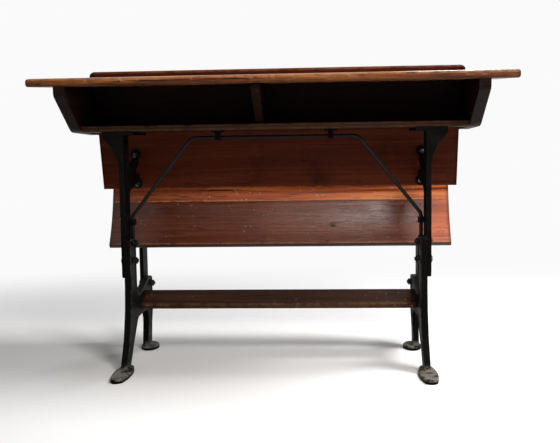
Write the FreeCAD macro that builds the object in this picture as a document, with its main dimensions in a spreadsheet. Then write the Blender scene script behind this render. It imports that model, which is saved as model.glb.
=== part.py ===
import FreeCAD, Part
import math
import os
import Sketcher

# Double school desk on adjustable iron standards, with a tip-up seat for the row in front.
# Millimetres and degrees. +X is to the right, +Y away from the writing pupils, +Z up.
# The origin is on the floor, under the middle of the whole desk.

SIZES = {
    # Clearances shared by pieces that meet
    "slip": 0.3,
    "pin_fit": 0.3,
    "bolt_fit": 0.1,
    "overrun": 2.0,
    # Writing top, with its overhangs past the book box
    "top_width": 1222.0,
    "top_front": 196.0,
    "top_thick": 21.0,
    "top_slope_angle": 3.5,
    "top_round": 6.0,
    "top_end": 70.0,
    "top_overhang": 6.0,
    "groove_radius": 10.0,
    "groove_sink": 6.0,
    "groove_length": 420.0,
    "groove_end": 17.0,
    "groove_from_back": 34.0,
    # Backrest, leaning towards the writing pupils
    "back_rise": 111.0,
    "back_tuck": 163.5,
    "back_lean_angle": 12.5,
    "back_lower_width": 68.0,
    "back_upper_width": 272.0,
    "back_ear": 12.0,
    "back_ear_height": 17.0,
    "back_thick": 20.0,
    "back_corner": 12.0,
    "back_round": 5.0,
    # Book box
    "box_height": 133.0,
    "side_thick": 29.0,
    "nose_drop": 23.0,
    "side_nose_round": 16.0,
    "side_heel_round": 65.0,
    "side_heel_drop": 5.0,
    "slant_run": 134.0,
    "shelf_thick": 16.0,
    "shelf_round": 4.0,
    "divider_thick": 22.0,
    "divider_setback": 16.0,
    "divider_offset": 35.0,
    # Base castings
    "base_inset": 126.0,
    "base_thick": 16.0,
    "arch_height": 120.0,
    "web_depth": 53.0,
    "leg_rise": 173.0,
    "stub_rise": 35.0,
    "leg_front": 82.0,
    "leg_rear": 14.0,
    "leg_flare": 88.0,
    "heel_front": 112.0,
    "arch_front": 12.0,
    "rear_leg_lead": 68.0,
    "rear_leg_width": 52.0,
    "rear_leg_rake": 22.0,
    "base_round": 10.0,
    "gap_round": 40.0,
    "arch_round": 38.0,
    "leg_sweep": 100.0,
    "front_foot_width": 48.0,
    "rear_foot_width": 52.0,
    "rear_foot_inset": 10.0,
    "foot_thick": 10.0,
    "foot_edge": 4.0,
    "front_toe": 70.0,
    "front_foot_length": 148.0,
    "rear_toe": 10.0,
    "rear_foot_length": 80.0,
    # Desk standards
    "stand_thick": 12.7,
    "stand_front": 56.0,
    "stand_rear": 8.0,
    "stand_tail": 46.0,
    "stand_round": 8.0,
    "desk_lift": 30.0,
    "arm_reach": 136.0,
    "arm_root_rise": 1.0,
    "arm_root_width": 64.0,
    "arm_fork_lead": 37.0,
    "arm_fork_rise": 39.0,
    "low_arm_from": 27.0,
    "low_arm_to": 46.0,
    "low_bolt_up": 18.0,
    "high_arm_from": 76.0,
    "high_arm_to": 95.0,
    "high_bolt_up": 104.0,
    "arm_round": 14.0,
    "fork_round": 8.0,
    "lug_thick": 8.0,
    "lug_width": 28.0,
    "flange_thick": 8.0,
    "flange_inner": 28.0,
    "flange_outer": 43.0,
    "flange_lead": 1.0,
    "flange_gap": 4.7,
    "gusset_thick": 10.0,
    "gusset_height": 122.0,
    "gusset_lip": 8.0,
    "gusset_sweep": 125.0,
    "panel_depth": 4.0,
    "panel_rim": 11.0,
    "panel_rise": 23.0,
    # Seat standards
    "prop_thick": 11.7,
    "prop_lead": 48.0,
    "prop_width": 56.0,
    "prop_tail": 16.0,
    "prop_head": 24.0,
    "prop_neck": 18.0,
    "prop_neck_drop": 50.0,
    "seat_drop": 30.0,
    # Clamp bolts of both pairs of standards
    "clamp_bolt": 10.0,
    "clamp_flats": 16.0,
    "clamp_head": 3.5,
    "clamp_head_width": 20.0,
    "clamp_nut": 8.0,
    "clamp_tail": 3.0,
    "washer_width": 20.0,
    "washer_thick": 2.0,
    "desk_clamp_edge": 16.0,
    "desk_clamp_pitch": 47.0,
    "seat_clamp_edge": 21.0,
    "seat_clamp_pitch": 47.0,
    # Footrest
    "rest_setback": 104.0,
    "rest_rise": 29.0,
    "rest_width": 78.0,
    "rest_thick": 16.0,
    "rest_tilt_angle": 22.6,
    "rest_round": 4.0,
    "rest_screw": 8.0,
    "rest_screw_depth": 60.0,
    "rest_screw_inset": 22.0,
    "rest_screw_head": 15.0,
    "rest_screw_head_thick": 6.0,
    # Seat, folded up at rest
    "seat_inset": 19.0,
    "seat_thick": 18.0,
    "seat_joint_lead": 30.0,
    "seat_joint_rise": 70.0,
    "seat_fold_angle": 15.0,
    "seat_dish": 367.0,
    "seat_dish_angle": 21.2,
    "seat_front_width": 200.0,
    "seat_round": 6.0,
    "hinge_setback": 52.0,
    "hinge_rise": 150.0,
    "hinge_pin": 14.0,
    "hinge_head": 26.0,
    "hinge_head_thick": 5.0,
    "hinge_flats": 22.0,
    "hinge_nut": 8.0,
    "seat_swing_angle": 72.0,
    "disc_rim": 8.7,
    "disc_front_angle": 45.0,
    "disc_rear_angle": 135.0,
    "bracket_reach": 112.0,
    "bracket_tail_angle": 20.0,
    "stop_orbit": 31.0,
    "stop_pin": 8.0,
    "wing_thick": 6.0,
    "wing_reach": 27.0,
    "wing_margin": 10.0,
    "wing_screw_inset": 14.0,
    "wing_screw_margin": 25.0,
    "wing_start_angle": 5.0,
    "wing_bend_angle": 11.0,
    # Back bolts
    "back_bolt": 8.0,
    "back_bolt_head": 20.0,
    "back_bolt_head_thick": 3.0,
    "back_nut_flats": 14.0,
    "back_nut": 7.0,
    "back_bolt_tail": 2.0,
    # Wood screws
    "screw": 5.0,
    "screw_head": 10.0,
    "screw_head_thick": 3.0,
    "screw_bite": 12.0,
    "side_screw_bite": 34.0,
    # Sway brace
    "rod": 10.0,
    "rod_lead": 10.0,
    "rod_bend": 26.0,
    "rod_tail": 19.0,
    "rod_knee_rise": 17.0,
    "rod_drop": 19.0,
    "rod_corner_inset": 169.3,
    "eye_thick": 16.0,
    "eye_width": 18.0,
    "eye_height": 16.0,
    "eye_drop": 23.0,
    "eye_pitch": 62.0,
    "eye_stud": 8.0,
    "eye_nut": 4.0,
    "eye_flats": 13.0,
    "eye_tail": 1.0,
    "saddle_inset": 72.0,
    "saddle_depth": 18.0,
    "saddle_lug": 14.0,
    "saddle_reach": 11.0,
    "saddle_wall": 2.0,
    "saddle_ear": 4.0,
    "saddle_screw": 4.0,
    "saddle_screw_head": 8.0,
}

# Front edge of the front leg from the floor up: shares of base_top in height and of leg_flare forward
LEG_EDGE_SHARES = ((0.0, 1.0), (0.065, 0.74), (0.24, 0.33), (0.44, 0.09), (0.62, 0.0))
# Screws of a flange along its length, and of a box side along the shelf and up the back
FLANGE_SCREW_SHARES = (0.16, 0.5, 0.84)
SHELF_SCREW_SHARES = (0.25, 0.7)
BACK_SCREW_SHARES = (0.52, 0.72)
# Radius of the ends of an oval foot, of its half width
FOOT_END_SHARE = 0.7
RIGHT, LEFT = 1, -1
NEAR = 0.01

doc = FreeCAD.newDocument("SchoolDesk")
sheet = doc.addObject("Spreadsheet::Sheet", "Sizes")
for row, (alias, number) in enumerate(SIZES.items(), 1):
    sheet.set(f"A{row}", alias)
    sheet.set(f"B{row}", str(number))
    sheet.setAlias(f"B{row}", alias)
doc.recompute()

nodes = []


# Sizes as numbers and as expressions

class Dim:
    """A size worked out from the sheet: its present number and the expression that drives it."""

    def __init__(self, number, text):
        self.number = number
        self.text = text

    def __add__(self, other):
        other = as_dim(other)
        return Dim(self.number + other.number, f"({self.text} + {other.text})")

    def __sub__(self, other):
        other = as_dim(other)
        return Dim(self.number - other.number, f"({self.text} - {other.text})")

    def __mul__(self, other):
        other = as_dim(other)
        return Dim(self.number * other.number, f"{self.text} * {other.text}")

    def __truediv__(self, other):
        other = as_dim(other)
        return Dim(self.number / other.number, f"{self.text} / ({other.text})")

    def __neg__(self):
        return Dim(-self.number, f"(0 - {self.text})")

    def __radd__(self, other):
        return as_dim(other) + self

    def __rsub__(self, other):
        return as_dim(other) - self

    def __rmul__(self, other):
        return as_dim(other) * self

    def __rtruediv__(self, other):
        return as_dim(other) / self


def as_dim(value):
    return value if isinstance(value, Dim) else Dim(float(value), f"({value})")


def size(alias):
    """The named size of the sheet."""
    return Dim(float(getattr(sheet, alias)), f"Sizes.{alias}")


def sin(angle):
    return Dim(math.sin(math.radians(angle.number)), f"sin({angle.text})")


def cos(angle):
    return Dim(math.cos(math.radians(angle.number)), f"cos({angle.text})")


def tan(angle):
    return Dim(math.tan(math.radians(angle.number)), f"tan({angle.text})")


def arctan(ratio):
    return Dim(math.degrees(math.atan(ratio.number)), f"atan({ratio.text}) / 1 deg")


def bind(item, prop, value):
    """Drive a property of an object from the sheet."""
    item.setExpression(prop, as_dim(value).text)


def place(item, x, y, z, axis=None, angle=0):
    """Put an object at a point, turned by an angle about an axis."""
    turn = FreeCAD.Rotation(FreeCAD.Vector(*(axis or (0, 0, 1))), as_dim(angle).number)
    item.Placement = FreeCAD.Placement(FreeCAD.Vector(0, 0, 0), turn)
    for letter, value in zip("xyz", (x, y, z)):
        bind(item, f"Placement.Base.{letter}", value)
    if axis and isinstance(angle, Dim):
        bind(item, "Placement.Rotation.Angle", angle)


# Sketches and features of a body

def new_body(label):
    body = doc.addObject("PartDesign::Body", label)
    body.Label = label
    return body


def new_sketch(body, plane, offset=None):
    """An empty sketch on an origin plane of its body, moved along the plane's normal."""
    sketch = body.newObject("Sketcher::SketchObject", "Outline")
    role = f"{plane}_Plane"
    support = [item for item in body.Origin.OriginFeatures if item.Role == role][0]
    sketch.AttachmentSupport = [(support, "")]
    sketch.MapMode = "FlatFace"
    if offset is not None:
        bind(sketch, "AttachmentOffset.Base.z", offset)
    return sketch


def pin_point(sketch, side, end, corner, name):
    """Hold one end of a side at a corner."""
    for letter, kind, value in zip("uv", ("DistanceX", "DistanceY"), corner):
        value = as_dim(value)
        index = sketch.addConstraint(Sketcher.Constraint(kind, -1, 1, side, end, value.number))
        sketch.renameConstraint(index, f"{letter}{name}")
        bind(sketch, f"Constraints.{letter}{name}", value)


def side_shape(start, end, bend):
    """A straight side, or an arc of a radius that bulges to the left (+1) or right (-1) of its way."""
    first = FreeCAD.Vector(start[0], start[1], 0)
    last = FreeCAD.Vector(end[0], end[1], 0)
    if bend is None:
        return Part.LineSegment(first, last)
    radius, hand = bend[0].number, bend[1]
    chord = last - first
    inset = math.sqrt(radius ** 2 - chord.Length ** 2 / 4)
    left = FreeCAD.Vector(-chord.y, chord.x, 0).normalize()
    centre = (first + last) / 2 - left * inset * hand
    start, end = (last, first) if hand > 0 else (first, last)
    angles = [math.atan2(spot.y - centre.y, spot.x - centre.x) for spot in (start, end)]
    if angles[1] < angles[0]:
        angles[1] += 2 * math.pi
    circle = Part.Circle(centre, FreeCAD.Vector(0, 0, 1), radius)
    return Part.ArcOfCircle(circle, *angles)


def draw(sketch, corners, bends=None, closed=True):
    """A chain of straight sides and arcs through corners; bends gives (radius, hand) by side number."""
    bends = bends or {}
    spots = [(as_dim(u).number, as_dim(v).number) for u, v in corners]
    sides = len(corners) if closed else len(corners) - 1
    first = sketch.GeometryCount
    ends = []
    for number in range(sides):
        start, end = spots[number], spots[(number + 1) % len(spots)]
        index = sketch.addGeometry(side_shape(start, end, bends.get(number)))
        drawn = sketch.Geometry[index].StartPoint
        ends.append((1, 2) if math.hypot(drawn.x - start[0], drawn.y - start[1]) < NEAR else (2, 1))
    for number in range(sides if closed else sides - 1):
        after = (number + 1) % sides
        joint = (first + number, ends[number][1], first + after, ends[after][0])
        sketch.addConstraint(Sketcher.Constraint("Coincident", *joint))
    for number in range(sides):
        pin_point(sketch, first + number, ends[number][0], corners[number], first + number)
    if not closed:
        pin_point(sketch, first + sides - 1, ends[-1][1], corners[-1], first + sides)
    for number, (radius, _) in bends.items():
        index = sketch.addConstraint(Sketcher.Constraint("Radius", first + number, radius.number))
        sketch.renameConstraint(index, f"bend{first + number}")
        bind(sketch, f"Constraints.bend{first + number}", radius)


def draw_circle(sketch, u, v, radius):
    centre = FreeCAD.Vector(as_dim(u).number, as_dim(v).number, 0)
    index = sketch.addGeometry(Part.Circle(centre, FreeCAD.Vector(0, 0, 1), radius.number))
    pin_point(sketch, index, 3, (u, v), f"c{index}")
    number = sketch.addConstraint(Sketcher.Constraint("Radius", index, radius.number))
    sketch.renameConstraint(number, f"round{index}")
    bind(sketch, f"Constraints.round{index}", radius)


def check(item):
    """Stop if an object failed to build."""
    if "Invalid" in item.State or "Error" in item.State:
        raise RuntimeError(f"{item.Label} failed: {item.State} {item.getStatusString()}")


def pad(body, sketch, length, other=None, symmetric=False, reverse=False):
    """Thicken a sketch: one way, both ways alike, or by two lengths."""
    feature = body.newObject("PartDesign::Pad", "Pad")
    feature.Profile = sketch
    feature.Reversed = reverse
    bind(feature, "Length", length)
    if symmetric:
        feature.SideType = "Symmetric"
    if other is not None:
        feature.SideType = "Two sides"
        bind(feature, "Length2", other)
    doc.recompute()
    check(sketch)
    check(feature)
    return feature


def pocket(body, sketch, depth, reverse=False):
    """Cut a sketch into the body and make sure that it took something away."""
    before = body.Shape.Volume
    feature = body.newObject("PartDesign::Pocket", "Pocket")
    feature.Profile = sketch
    feature.Reversed = reverse
    bind(feature, "Length", depth)
    doc.recompute()
    if body.Shape.Volume >= before:
        raise RuntimeError(f"{body.Label}: a pocket cut nothing")
    return feature


def fillet(body, feature, radius, wanted):
    """Round the edges of a feature that pass a test."""
    names = [f"Edge{n}" for n, edge in enumerate(feature.Shape.Edges, 1) if wanted(edge)]
    rounded = body.newObject("PartDesign::Fillet", "Rounds")
    rounded.Base = (feature, names)
    bind(rounded, "Radius", radius)
    doc.recompute()
    check(rounded)
    return rounded


def runs_along(edge, axis):
    """True for a straight edge along X (0), Y (1) or Z (2)."""
    ends = [vertex.Point for vertex in edge.Vertexes]
    if len(ends) < 2:
        return False
    step = ends[1] - ends[0]
    return abs(abs(step[axis]) - edge.Length) < NEAR and step.Length > NEAR


def at_corners(corners):
    """A test for edges along X that pass through corners of the side view."""
    spots = [(as_dim(u).number, as_dim(v).number) for u, v in corners]

    def wanted(edge):
        if not runs_along(edge, 0):
            return False
        spot = edge.Vertexes[0].Point
        return any(math.hypot(spot.y - u, spot.z - v) < NEAR for u, v in spots)

    return wanted


# Round pieces, cuts and groups

def lathe(kind, spot, axis, angle, height, radius):
    """A cylinder, or a hexagon of the same across-flats width, from a spot along a turned Z axis."""
    if kind == "hexagon":
        item = doc.addObject("Part::Prism", "Hexagon")
        item.Polygon = 6
        bind(item, "Circumradius", radius / cos(Dim(30.0, "30")))
    else:
        item = doc.addObject("Part::Cylinder", "Round")
        bind(item, "Radius", radius)
    bind(item, "Height", height)
    place(item, *spot, axis, angle)
    return item


def across(side, low, high, y, z, radius, kind="cylinder"):
    """A round or hexagonal piece along X between two distances from the middle, right or left."""
    start = low if side == RIGHT else -high
    return lathe(kind, (start, y, z), (0, 1, 0), 90, high - low, radius)


def fuse(label, members):
    joined = doc.addObject("Part::MultiFuse", label)
    joined.Shapes = members
    joined.Label = label
    return joined


def cut(label, base, tools):
    """Take tools away from a base and make sure that they met it."""
    tool = tools[0]
    if len(tools) > 1:
        tool = fuse("Tools", tools)
    result = doc.addObject("Part::Cut", label)
    result.Base = base
    result.Tool = tool
    result.Label = label
    doc.recompute()
    check(result)
    if result.Shape.Volume >= base.Shape.Volume:
        raise RuntimeError(f"{label}: a cut took nothing")
    return result


def group(label, members):
    """Identical loose pieces that share a node."""
    result = doc.addObject("Part::Compound", label)
    result.Links = members
    result.Label = label
    return keep(result)


def mirrored(label, source):
    """The left-hand twin of a right-hand piece."""
    result = doc.addObject("Part::Mirroring", label)
    result.Source = source
    result.Normal = (1, 0, 0)
    result.Label = label
    return keep(result)


def keep(item):
    nodes.append(item)
    return item


# Lines that many pieces share

side_outer = size("top_width") / 2 - size("top_end")
side_inner = side_outer - size("side_thick")
back_width = side_inner * 2
seat_width = (side_inner - size("seat_inset")) * 2
base_inner = side_inner - size("base_inset")
base_outer = base_inner + size("base_thick")
slide_face = base_outer + size("slip")
stand_outer = slide_face + size("stand_thick")
prop_outer = slide_face + size("prop_thick")

web_top = size("arch_height") + size("web_depth")
base_top = web_top + size("leg_rise")
rear_leg_top = web_top + size("stub_rise")
hinge_z = rear_leg_top + size("hinge_rise")
back_foot_z = hinge_z + size("back_rise")
shelf_height = back_foot_z + size("back_tuck")
shelf_top = shelf_height + size("shelf_thick")
flange_bottom = shelf_height - size("flange_thick")
top_height = shelf_height + size("box_height")
top_fall = size("top_thick") / cos(size("top_slope_angle"))

back_foot_y = size("stand_rear") + size("arm_reach")
hinge_y = back_foot_y + size("hinge_setback")
rear_leg_front = hinge_y - size("rear_leg_lead")
rear_leg_rear = rear_leg_front + size("rear_leg_width")
prop_front = hinge_y - size("prop_lead")
side_front = size("top_front") - size("top_overhang")
shelf_front = side_front - size("slant_run")
seat_joint_y = hinge_y - size("seat_joint_lead")
seat_joint_z = hinge_z + size("seat_joint_rise")
rest_near_y = rear_leg_front - size("rest_setback")
rest_near_z = size("arch_height") + size("rest_rise")


def back_point(up, through):
    """A point of the backrest: up its front face from the foot, and through its thickness."""
    lean = size("back_lean_angle")
    y = back_foot_y - up * sin(lean) + through * cos(lean)
    z = back_foot_z + up * cos(lean) + through * sin(lean)
    return y, z


def back_at(height, through):
    """Distance of the backrest from the middle at a height, at a depth through its thickness."""
    lean = size("back_lean_angle")
    return back_foot_y - (height - back_foot_z) * tan(lean) + through / cos(lean)


def under_top(y, drop):
    """Height of the top's sloping upper face at a distance, less a drop."""
    return top_height - drop + (y + size("top_front")) * tan(size("top_slope_angle"))


def top_meets_back(drop, through):
    """Where a line of the top, dropped from its upper face, meets the leaning back."""
    lean = tan(size("back_lean_angle"))
    slope = tan(size("top_slope_angle"))
    start = top_height - drop + size("top_front") * slope
    reach = back_foot_y + through / cos(size("back_lean_angle"))
    y = (reach - (start - back_foot_z) * lean) / (1 + slope * lean)
    return y, under_top(y, drop)


def dish_point(angle, depth):
    """A point of the dished seat: an angle from the vertical and a depth behind its sitting face."""
    fold = size("seat_fold_angle")
    centre_y = seat_joint_y - size("seat_dish") * cos(fold)
    centre_z = seat_joint_z + size("seat_dish") * sin(fold)
    reach = size("seat_dish") + depth
    return centre_y + reach * cos(angle), centre_z - reach * sin(angle)


def flat_point(up, depth):
    """A point of the flat front of the seat: up from the joint of its boards, behind its face."""
    fold = size("seat_fold_angle")
    y = seat_joint_y + up * sin(fold) + depth * cos(fold)
    z = seat_joint_z + up * cos(fold) - depth * sin(fold)
    return y, z


def rest_point(along, down):
    """A point of the footrest: along its tilted face from the near edge, and down its thickness."""
    tilt = size("rest_tilt_angle")
    y = rest_near_y + along * cos(tilt) + down * sin(tilt)
    z = rest_near_z + along * sin(tilt) - down * cos(tilt)
    return y, z


def hinge_point(radius, angle):
    """A point round the seat's hinge, at an angle from +Y towards +Z."""
    return hinge_y + radius * cos(angle), hinge_z + radius * sin(angle)


def degrees(share_of_arc, radius):
    """The angle of a short arc on a radius."""
    return share_of_arc / radius * Dim(180 / math.pi, "180 / pi")


# Boards that run across the desk

def board(label, corners, width, bends=None):
    """A board of one side view, centred on the desk's middle. Returns its body and its pad."""
    body = new_body(label)
    sketch = new_sketch(body, "YZ")
    draw(sketch, corners, bends)
    return body, pad(body, sketch, width, symmetric=True)


def desk_top():
    near = -size("top_front")
    gap = -size("slip")
    nose = [(near, top_height), (near, top_height - top_fall)]
    rear = [top_meets_back(top_fall, gap), top_meets_back(0, gap)]
    body, solid = board("top_blank", nose + rear, size("top_width"))
    fillet(body, solid, size("top_round"), at_corners(nose))
    slope = size("top_slope_angle")
    back_y, back_z = top_meets_back(0, gap)
    y = back_y - size("groove_from_back")
    z = back_z - size("groove_from_back") * tan(slope) + size("groove_radius") - size("groove_sink")
    tools = []
    for side in (RIGHT, LEFT):
        high = side_inner - size("groove_end")
        low = high - size("groove_length")
        tools.append(across(side, low, high, y, z, size("groove_radius")))
        for end in (low, high):
            ball = doc.addObject("Part::Sphere", "GrooveEnd")
            bind(ball, "Radius", size("groove_radius"))
            place(ball, end * side, y, z)
            tools.append(ball)
    keep(cut("desk_top", body, tools))


def back_boards():
    """Two leaning boards, drawn flat and then leaned, with holes for the back bolts."""
    half = back_width / 2
    low = size("back_lower_width")
    high = low + size("back_upper_width")
    hole = size("back_bolt") / 2 + size("bolt_fit")
    for label, bottom, top, bolt in (("back_board_lower", as_dim(0), low, low_bolt),
                                     ("back_board_upper", low, high, high_bolt)):
        tools = [tool for side in (RIGHT, LEFT) for tool in side_screw_tools(side, label)]
        body = new_body(f"{label}_blank" if tools else label)
        sketch = new_sketch(body, "XZ")
        right = [(half, bottom), (half, top)]
        if label == "back_board_upper":
            ear, shoulder = half + size("back_ear"), top - size("back_ear_height")
            right = [(half, bottom), (half, shoulder), (ear, shoulder), (ear, top)]
        draw(sketch, right + [(-x, z) for x, z in reversed(right)])
        for side in (RIGHT, LEFT):
            draw_circle(sketch, lug_bolt_x * side, bolt, hole)
        solid = pad(body, sketch, size("back_thick"), reverse=True)
        if label == "back_board_upper":
            round_back_top(body, solid, ear, top)
        place(body, 0, back_foot_y, back_foot_z, (1, 0, 0), size("back_lean_angle"))
        keep(cut(label, body, tools) if tools else body)


def round_back_top(body, solid, ear, top):
    """Round the two top corners of the backrest's ears, then its whole upper edge."""

    def is_corner(edge):
        spot = edge.Vertexes[0].Point
        return runs_along(edge, 1) and abs(abs(spot.x) - ear.number) < NEAR and spot.z > top.number - NEAR

    corners = fillet(body, solid, size("back_corner"), is_corner)

    def is_upper(edge):
        start = top.number - size("back_corner").number - NEAR
        low = min(vertex.Point.z for vertex in edge.Vertexes)
        level = abs(edge.Vertexes[0].Point.y - edge.Vertexes[-1].Point.y) < NEAR
        return low > start and level

    fillet(body, corners, size("back_round"), is_upper)


def shelf_board():
    front = -shelf_front
    low, high = shelf_height, shelf_top
    corners = [(front, low), (back_at(low, 0), low), (back_at(high, 0), high), (front, high)]
    body, solid = board("shelf_blank", corners, back_width)
    fillet(body, solid, size("shelf_round"), at_corners([corners[0], corners[3]]))
    tools = []
    for side in (RIGHT, LEFT):
        tools += [screw_hole(spot) for spot in flange_screw_spots(side)]
        tools += [screw_hole(spot, "saddle_screw") for spot in saddle_screw_spots(side)]
        tools += side_screw_tools(side, "shelf_board")
    keep(cut("shelf_board", body, tools))


def screw_hole(spot, kind="screw"):
    """The hole for a screw that goes up into the shelf."""
    x, y, head = spot
    radius = size(kind) / 2 + size("bolt_fit")
    return lathe("cylinder", (x, y, head), None, 0, shelf_height - head + size("screw_bite"), radius)


def side_corners(front, bottom_front, bottom, heel, through):
    """The side view of an upright wall of the book box, from its top front corner round."""
    nose = under_top(-front, top_fall + size("nose_drop"))
    return [
        (-front, under_top(-front, top_fall)),
        (-front, nose),
        (-bottom_front, bottom),
        (back_at(heel, through), heel),
        top_meets_back(top_fall, through),
    ]


def box_walls():
    heel = shelf_height - size("side_heel_drop")
    corners = side_corners(side_front, shelf_front, shelf_height, heel, size("back_thick"))
    body = new_body("side_blank")
    sketch = new_sketch(body, "YZ")
    draw(sketch, corners)
    solid = pad(body, sketch, size("side_thick"))
    solid = fillet(body, solid, size("side_nose_round"), at_corners([corners[1]]))
    fillet(body, solid, size("side_heel_round"), at_corners([corners[2]]))
    place(body, side_inner, 0, 0)
    tools = [side_screw_tools(RIGHT, part) for part in ("shelf_board", "back_board_upper")]
    right = keep(cut("box_side_right", body, tools[0] + tools[1]))
    mirrored("box_side_left", right)
    setback = size("divider_setback")
    inner = side_corners(side_front - setback, shelf_front - setback, shelf_top, shelf_top, 0)
    body, solid = board("box_divider", inner, size("divider_thick"))
    fillet(body, solid, size("side_nose_round"), at_corners([inner[1]]))
    place(body, -size("divider_offset"), 0, 0)
    keep(body)


# Screws through the box sides

def side_screw_spots(part):
    """Distances and heights of the screws that go through a box side into a part of the box."""
    if part == "shelf_board":
        reach = shelf_front + back_foot_y
        height = shelf_height + size("shelf_thick") / 2
        return [(reach * share - shelf_front, height) for share in SHELF_SCREW_SHARES]
    if part == "back_board_upper":
        whole = size("back_lower_width") + size("back_upper_width")
        return [back_point(whole * share, size("back_thick") / 2) for share in BACK_SCREW_SHARES]
    return []


def side_screw_tools(side, part):
    radius = size("screw") / 2 + size("bolt_fit")
    low = side_inner - size("side_screw_bite")
    high = side_outer + size("overrun")
    return [across(side, low, high, y, z, radius) for y, z in side_screw_spots(part)]


def side_screws():
    members = []
    for side in (RIGHT, LEFT):
        for y, z in side_screw_spots("shelf_board") + side_screw_spots("back_board_upper"):
            shank = across(side, side_inner - size("side_screw_bite"), side_outer, y, z, size("screw") / 2)
            head = across(side, side_outer, side_outer + size("screw_head_thick"), y, z,
                          size("screw_head") / 2)
            members.append(fuse("SideScrew", [shank, head]))
    group("side_screws", members)


# Base castings

def base_castings():
    body = new_body("base_blank")
    edge = [(-size("leg_front") - size("leg_flare") * forward, base_top * up)
            for up, forward in LEG_EDGE_SHARES]
    crown = [(-size("leg_front"), base_top), (-size("leg_rear"), base_top)]
    gap = [(-size("leg_rear"), web_top)]
    stub = [(rear_leg_front, rear_leg_top), (rear_leg_rear, rear_leg_top)]
    rake = size("rear_leg_rake")
    rear_leg = [(rear_leg_rear, size("arch_height")), (rear_leg_rear - rake, as_dim(0)),
                (rear_leg_front - rake, as_dim(0))]
    arch = [(rear_leg_front, size("arch_height")), (-size("arch_front"), size("arch_height"))]
    heel = [(-size("heel_front"), as_dim(0))]
    sketch = new_sketch(body, "YZ")
    draw(sketch, edge + crown + gap + stub + rear_leg + arch + heel)
    solid = pad(body, sketch, size("base_thick"))
    solid = fillet(body, solid, size("leg_sweep"), at_corners(edge[1:4]))
    solid = fillet(body, solid, size("base_round"), at_corners(crown + stub))
    solid = fillet(body, solid, size("gap_round"), at_corners(gap))
    solid = fillet(body, solid, size("leg_sweep"), at_corners(rear_leg[:1]))
    fillet(body, solid, size("arch_round"), at_corners(arch))
    place(body, base_inner, 0, 0)
    front = -size("leg_front") - size("leg_flare") - size("front_toe")
    rear = rear_leg_rear - rake + size("rear_toe")
    feet = [foot("front_foot", front, front + size("front_foot_length"), size("front_foot_width"), 0),
            foot("rear_foot", rear - size("rear_foot_length"), rear, size("rear_foot_width"),
                 size("rear_foot_inset"))]
    casting = fuse("base_joined", [body] + feet)
    bolt = size("clamp_bolt") / 2 + size("bolt_fit")
    start = base_inner - size("overrun")
    end = base_outer + size("overrun")
    tools = [across(RIGHT, start, end, y, z, bolt) for y, z in desk_clamps + seat_clamps]
    lag = size("rest_screw") / 2 + size("bolt_fit")
    tools += [across(RIGHT, start, end, y, z, lag) for y, z in rest_screw_spots()]
    right = keep(cut("base_casting_right", casting, tools))
    mirrored("base_casting_left", right)


def foot(label, front, rear, width, inset):
    """A flat oval foot of four arcs that run into each other, rounded over on top, set in from its leg."""
    body = new_body(label)
    half = width / 2
    middle = (front + rear) / 2
    end_round = half * FOOT_END_SHARE
    run = (rear - front) / 2 - end_round
    side_round = (run * run + half * half - end_round * end_round) / ((half - end_round) * 2)
    stretch = side_round / (side_round - end_round)
    out = (side_round - half) * (stretch - 1)
    along = run * stretch
    corners = [(-out, middle - along), (out, middle - along), (out, middle + along), (-out, middle + along)]
    sketch = new_sketch(body, "XY")
    rounds = (end_round, side_round, end_round, side_round)
    draw(sketch, corners, {number: (radius, -1) for number, radius in enumerate(rounds)})
    solid = pad(body, sketch, size("foot_thick"))
    top = size("foot_thick").number - NEAR
    fillet(body, solid, size("foot_edge"), lambda edge: edge.BoundBox.ZMin > top)
    place(body, base_inner + size("base_thick") / 2 - inset, 0, 0)
    return body


# Clamps between the castings

def pitch_row(y, low, pitch):
    return [(y, low), (y, low + pitch)]


desk_clamp_low = base_top - size("desk_clamp_edge") - size("desk_clamp_pitch")
desk_clamp_y = (-size("stand_front") - size("leg_rear")) / 2
desk_clamps = pitch_row(desk_clamp_y, desk_clamp_low, size("desk_clamp_pitch"))
seat_clamp_low = rear_leg_top - size("seat_clamp_edge") - size("seat_clamp_pitch")
seat_clamp_y = (prop_front + rear_leg_rear) / 2
seat_clamps = pitch_row(seat_clamp_y, seat_clamp_low, size("seat_clamp_pitch"))


def clamp_set(name, spots, outer):
    """Bolts with low round heads outside the standards, washers and nuts inside the base castings."""
    bolts, washers, nuts = [], [], []
    radius = size("clamp_bolt") / 2
    hole = radius + size("bolt_fit")
    under_head = outer + size("slip")
    seat = base_inner - size("washer_thick")
    nut_end = seat - size("clamp_nut")
    for side in (RIGHT, LEFT):
        for y, z in spots:
            shank = across(side, nut_end - size("clamp_tail"), under_head, y, z, radius)
            head = across(side, under_head, under_head + size("clamp_head"), y, z,
                          size("clamp_head_width") / 2)
            bolts.append(fuse("Bolt", [shank, head]))
            disc = across(side, seat, base_inner, y, z, size("washer_width") / 2)
            washers.append(cut("Washer", disc, [across(side, seat, base_inner, y, z, hole)]))
            block = across(side, nut_end, seat, y, z, size("clamp_flats") / 2, "hexagon")
            nuts.append(cut("Nut", block, [across(side, nut_end, seat, y, z, hole)]))
    group(f"{name}_clamp_bolts", bolts)
    group(f"{name}_clamp_washers", washers)
    group(f"{name}_clamp_nuts", nuts)


def slot(spot, below, above, outer):
    """Tools for an upright slot round a clamp bolt, with room to slide below and above it."""
    y, z = spot
    radius = size("clamp_bolt") / 2 + size("slip")
    start, end = slide_face - size("overrun"), outer + size("overrun")
    ends = [across(RIGHT, start, end, y, level, radius) for level in (z - below, z + above)]
    box = doc.addObject("Part::Box", "SlotMiddle")
    bind(box, "Length", end - start)
    bind(box, "Width", radius * 2)
    bind(box, "Height", below + above)
    place(box, start, y - radius, z - below)
    return ends + [box]


# Desk standards

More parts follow.
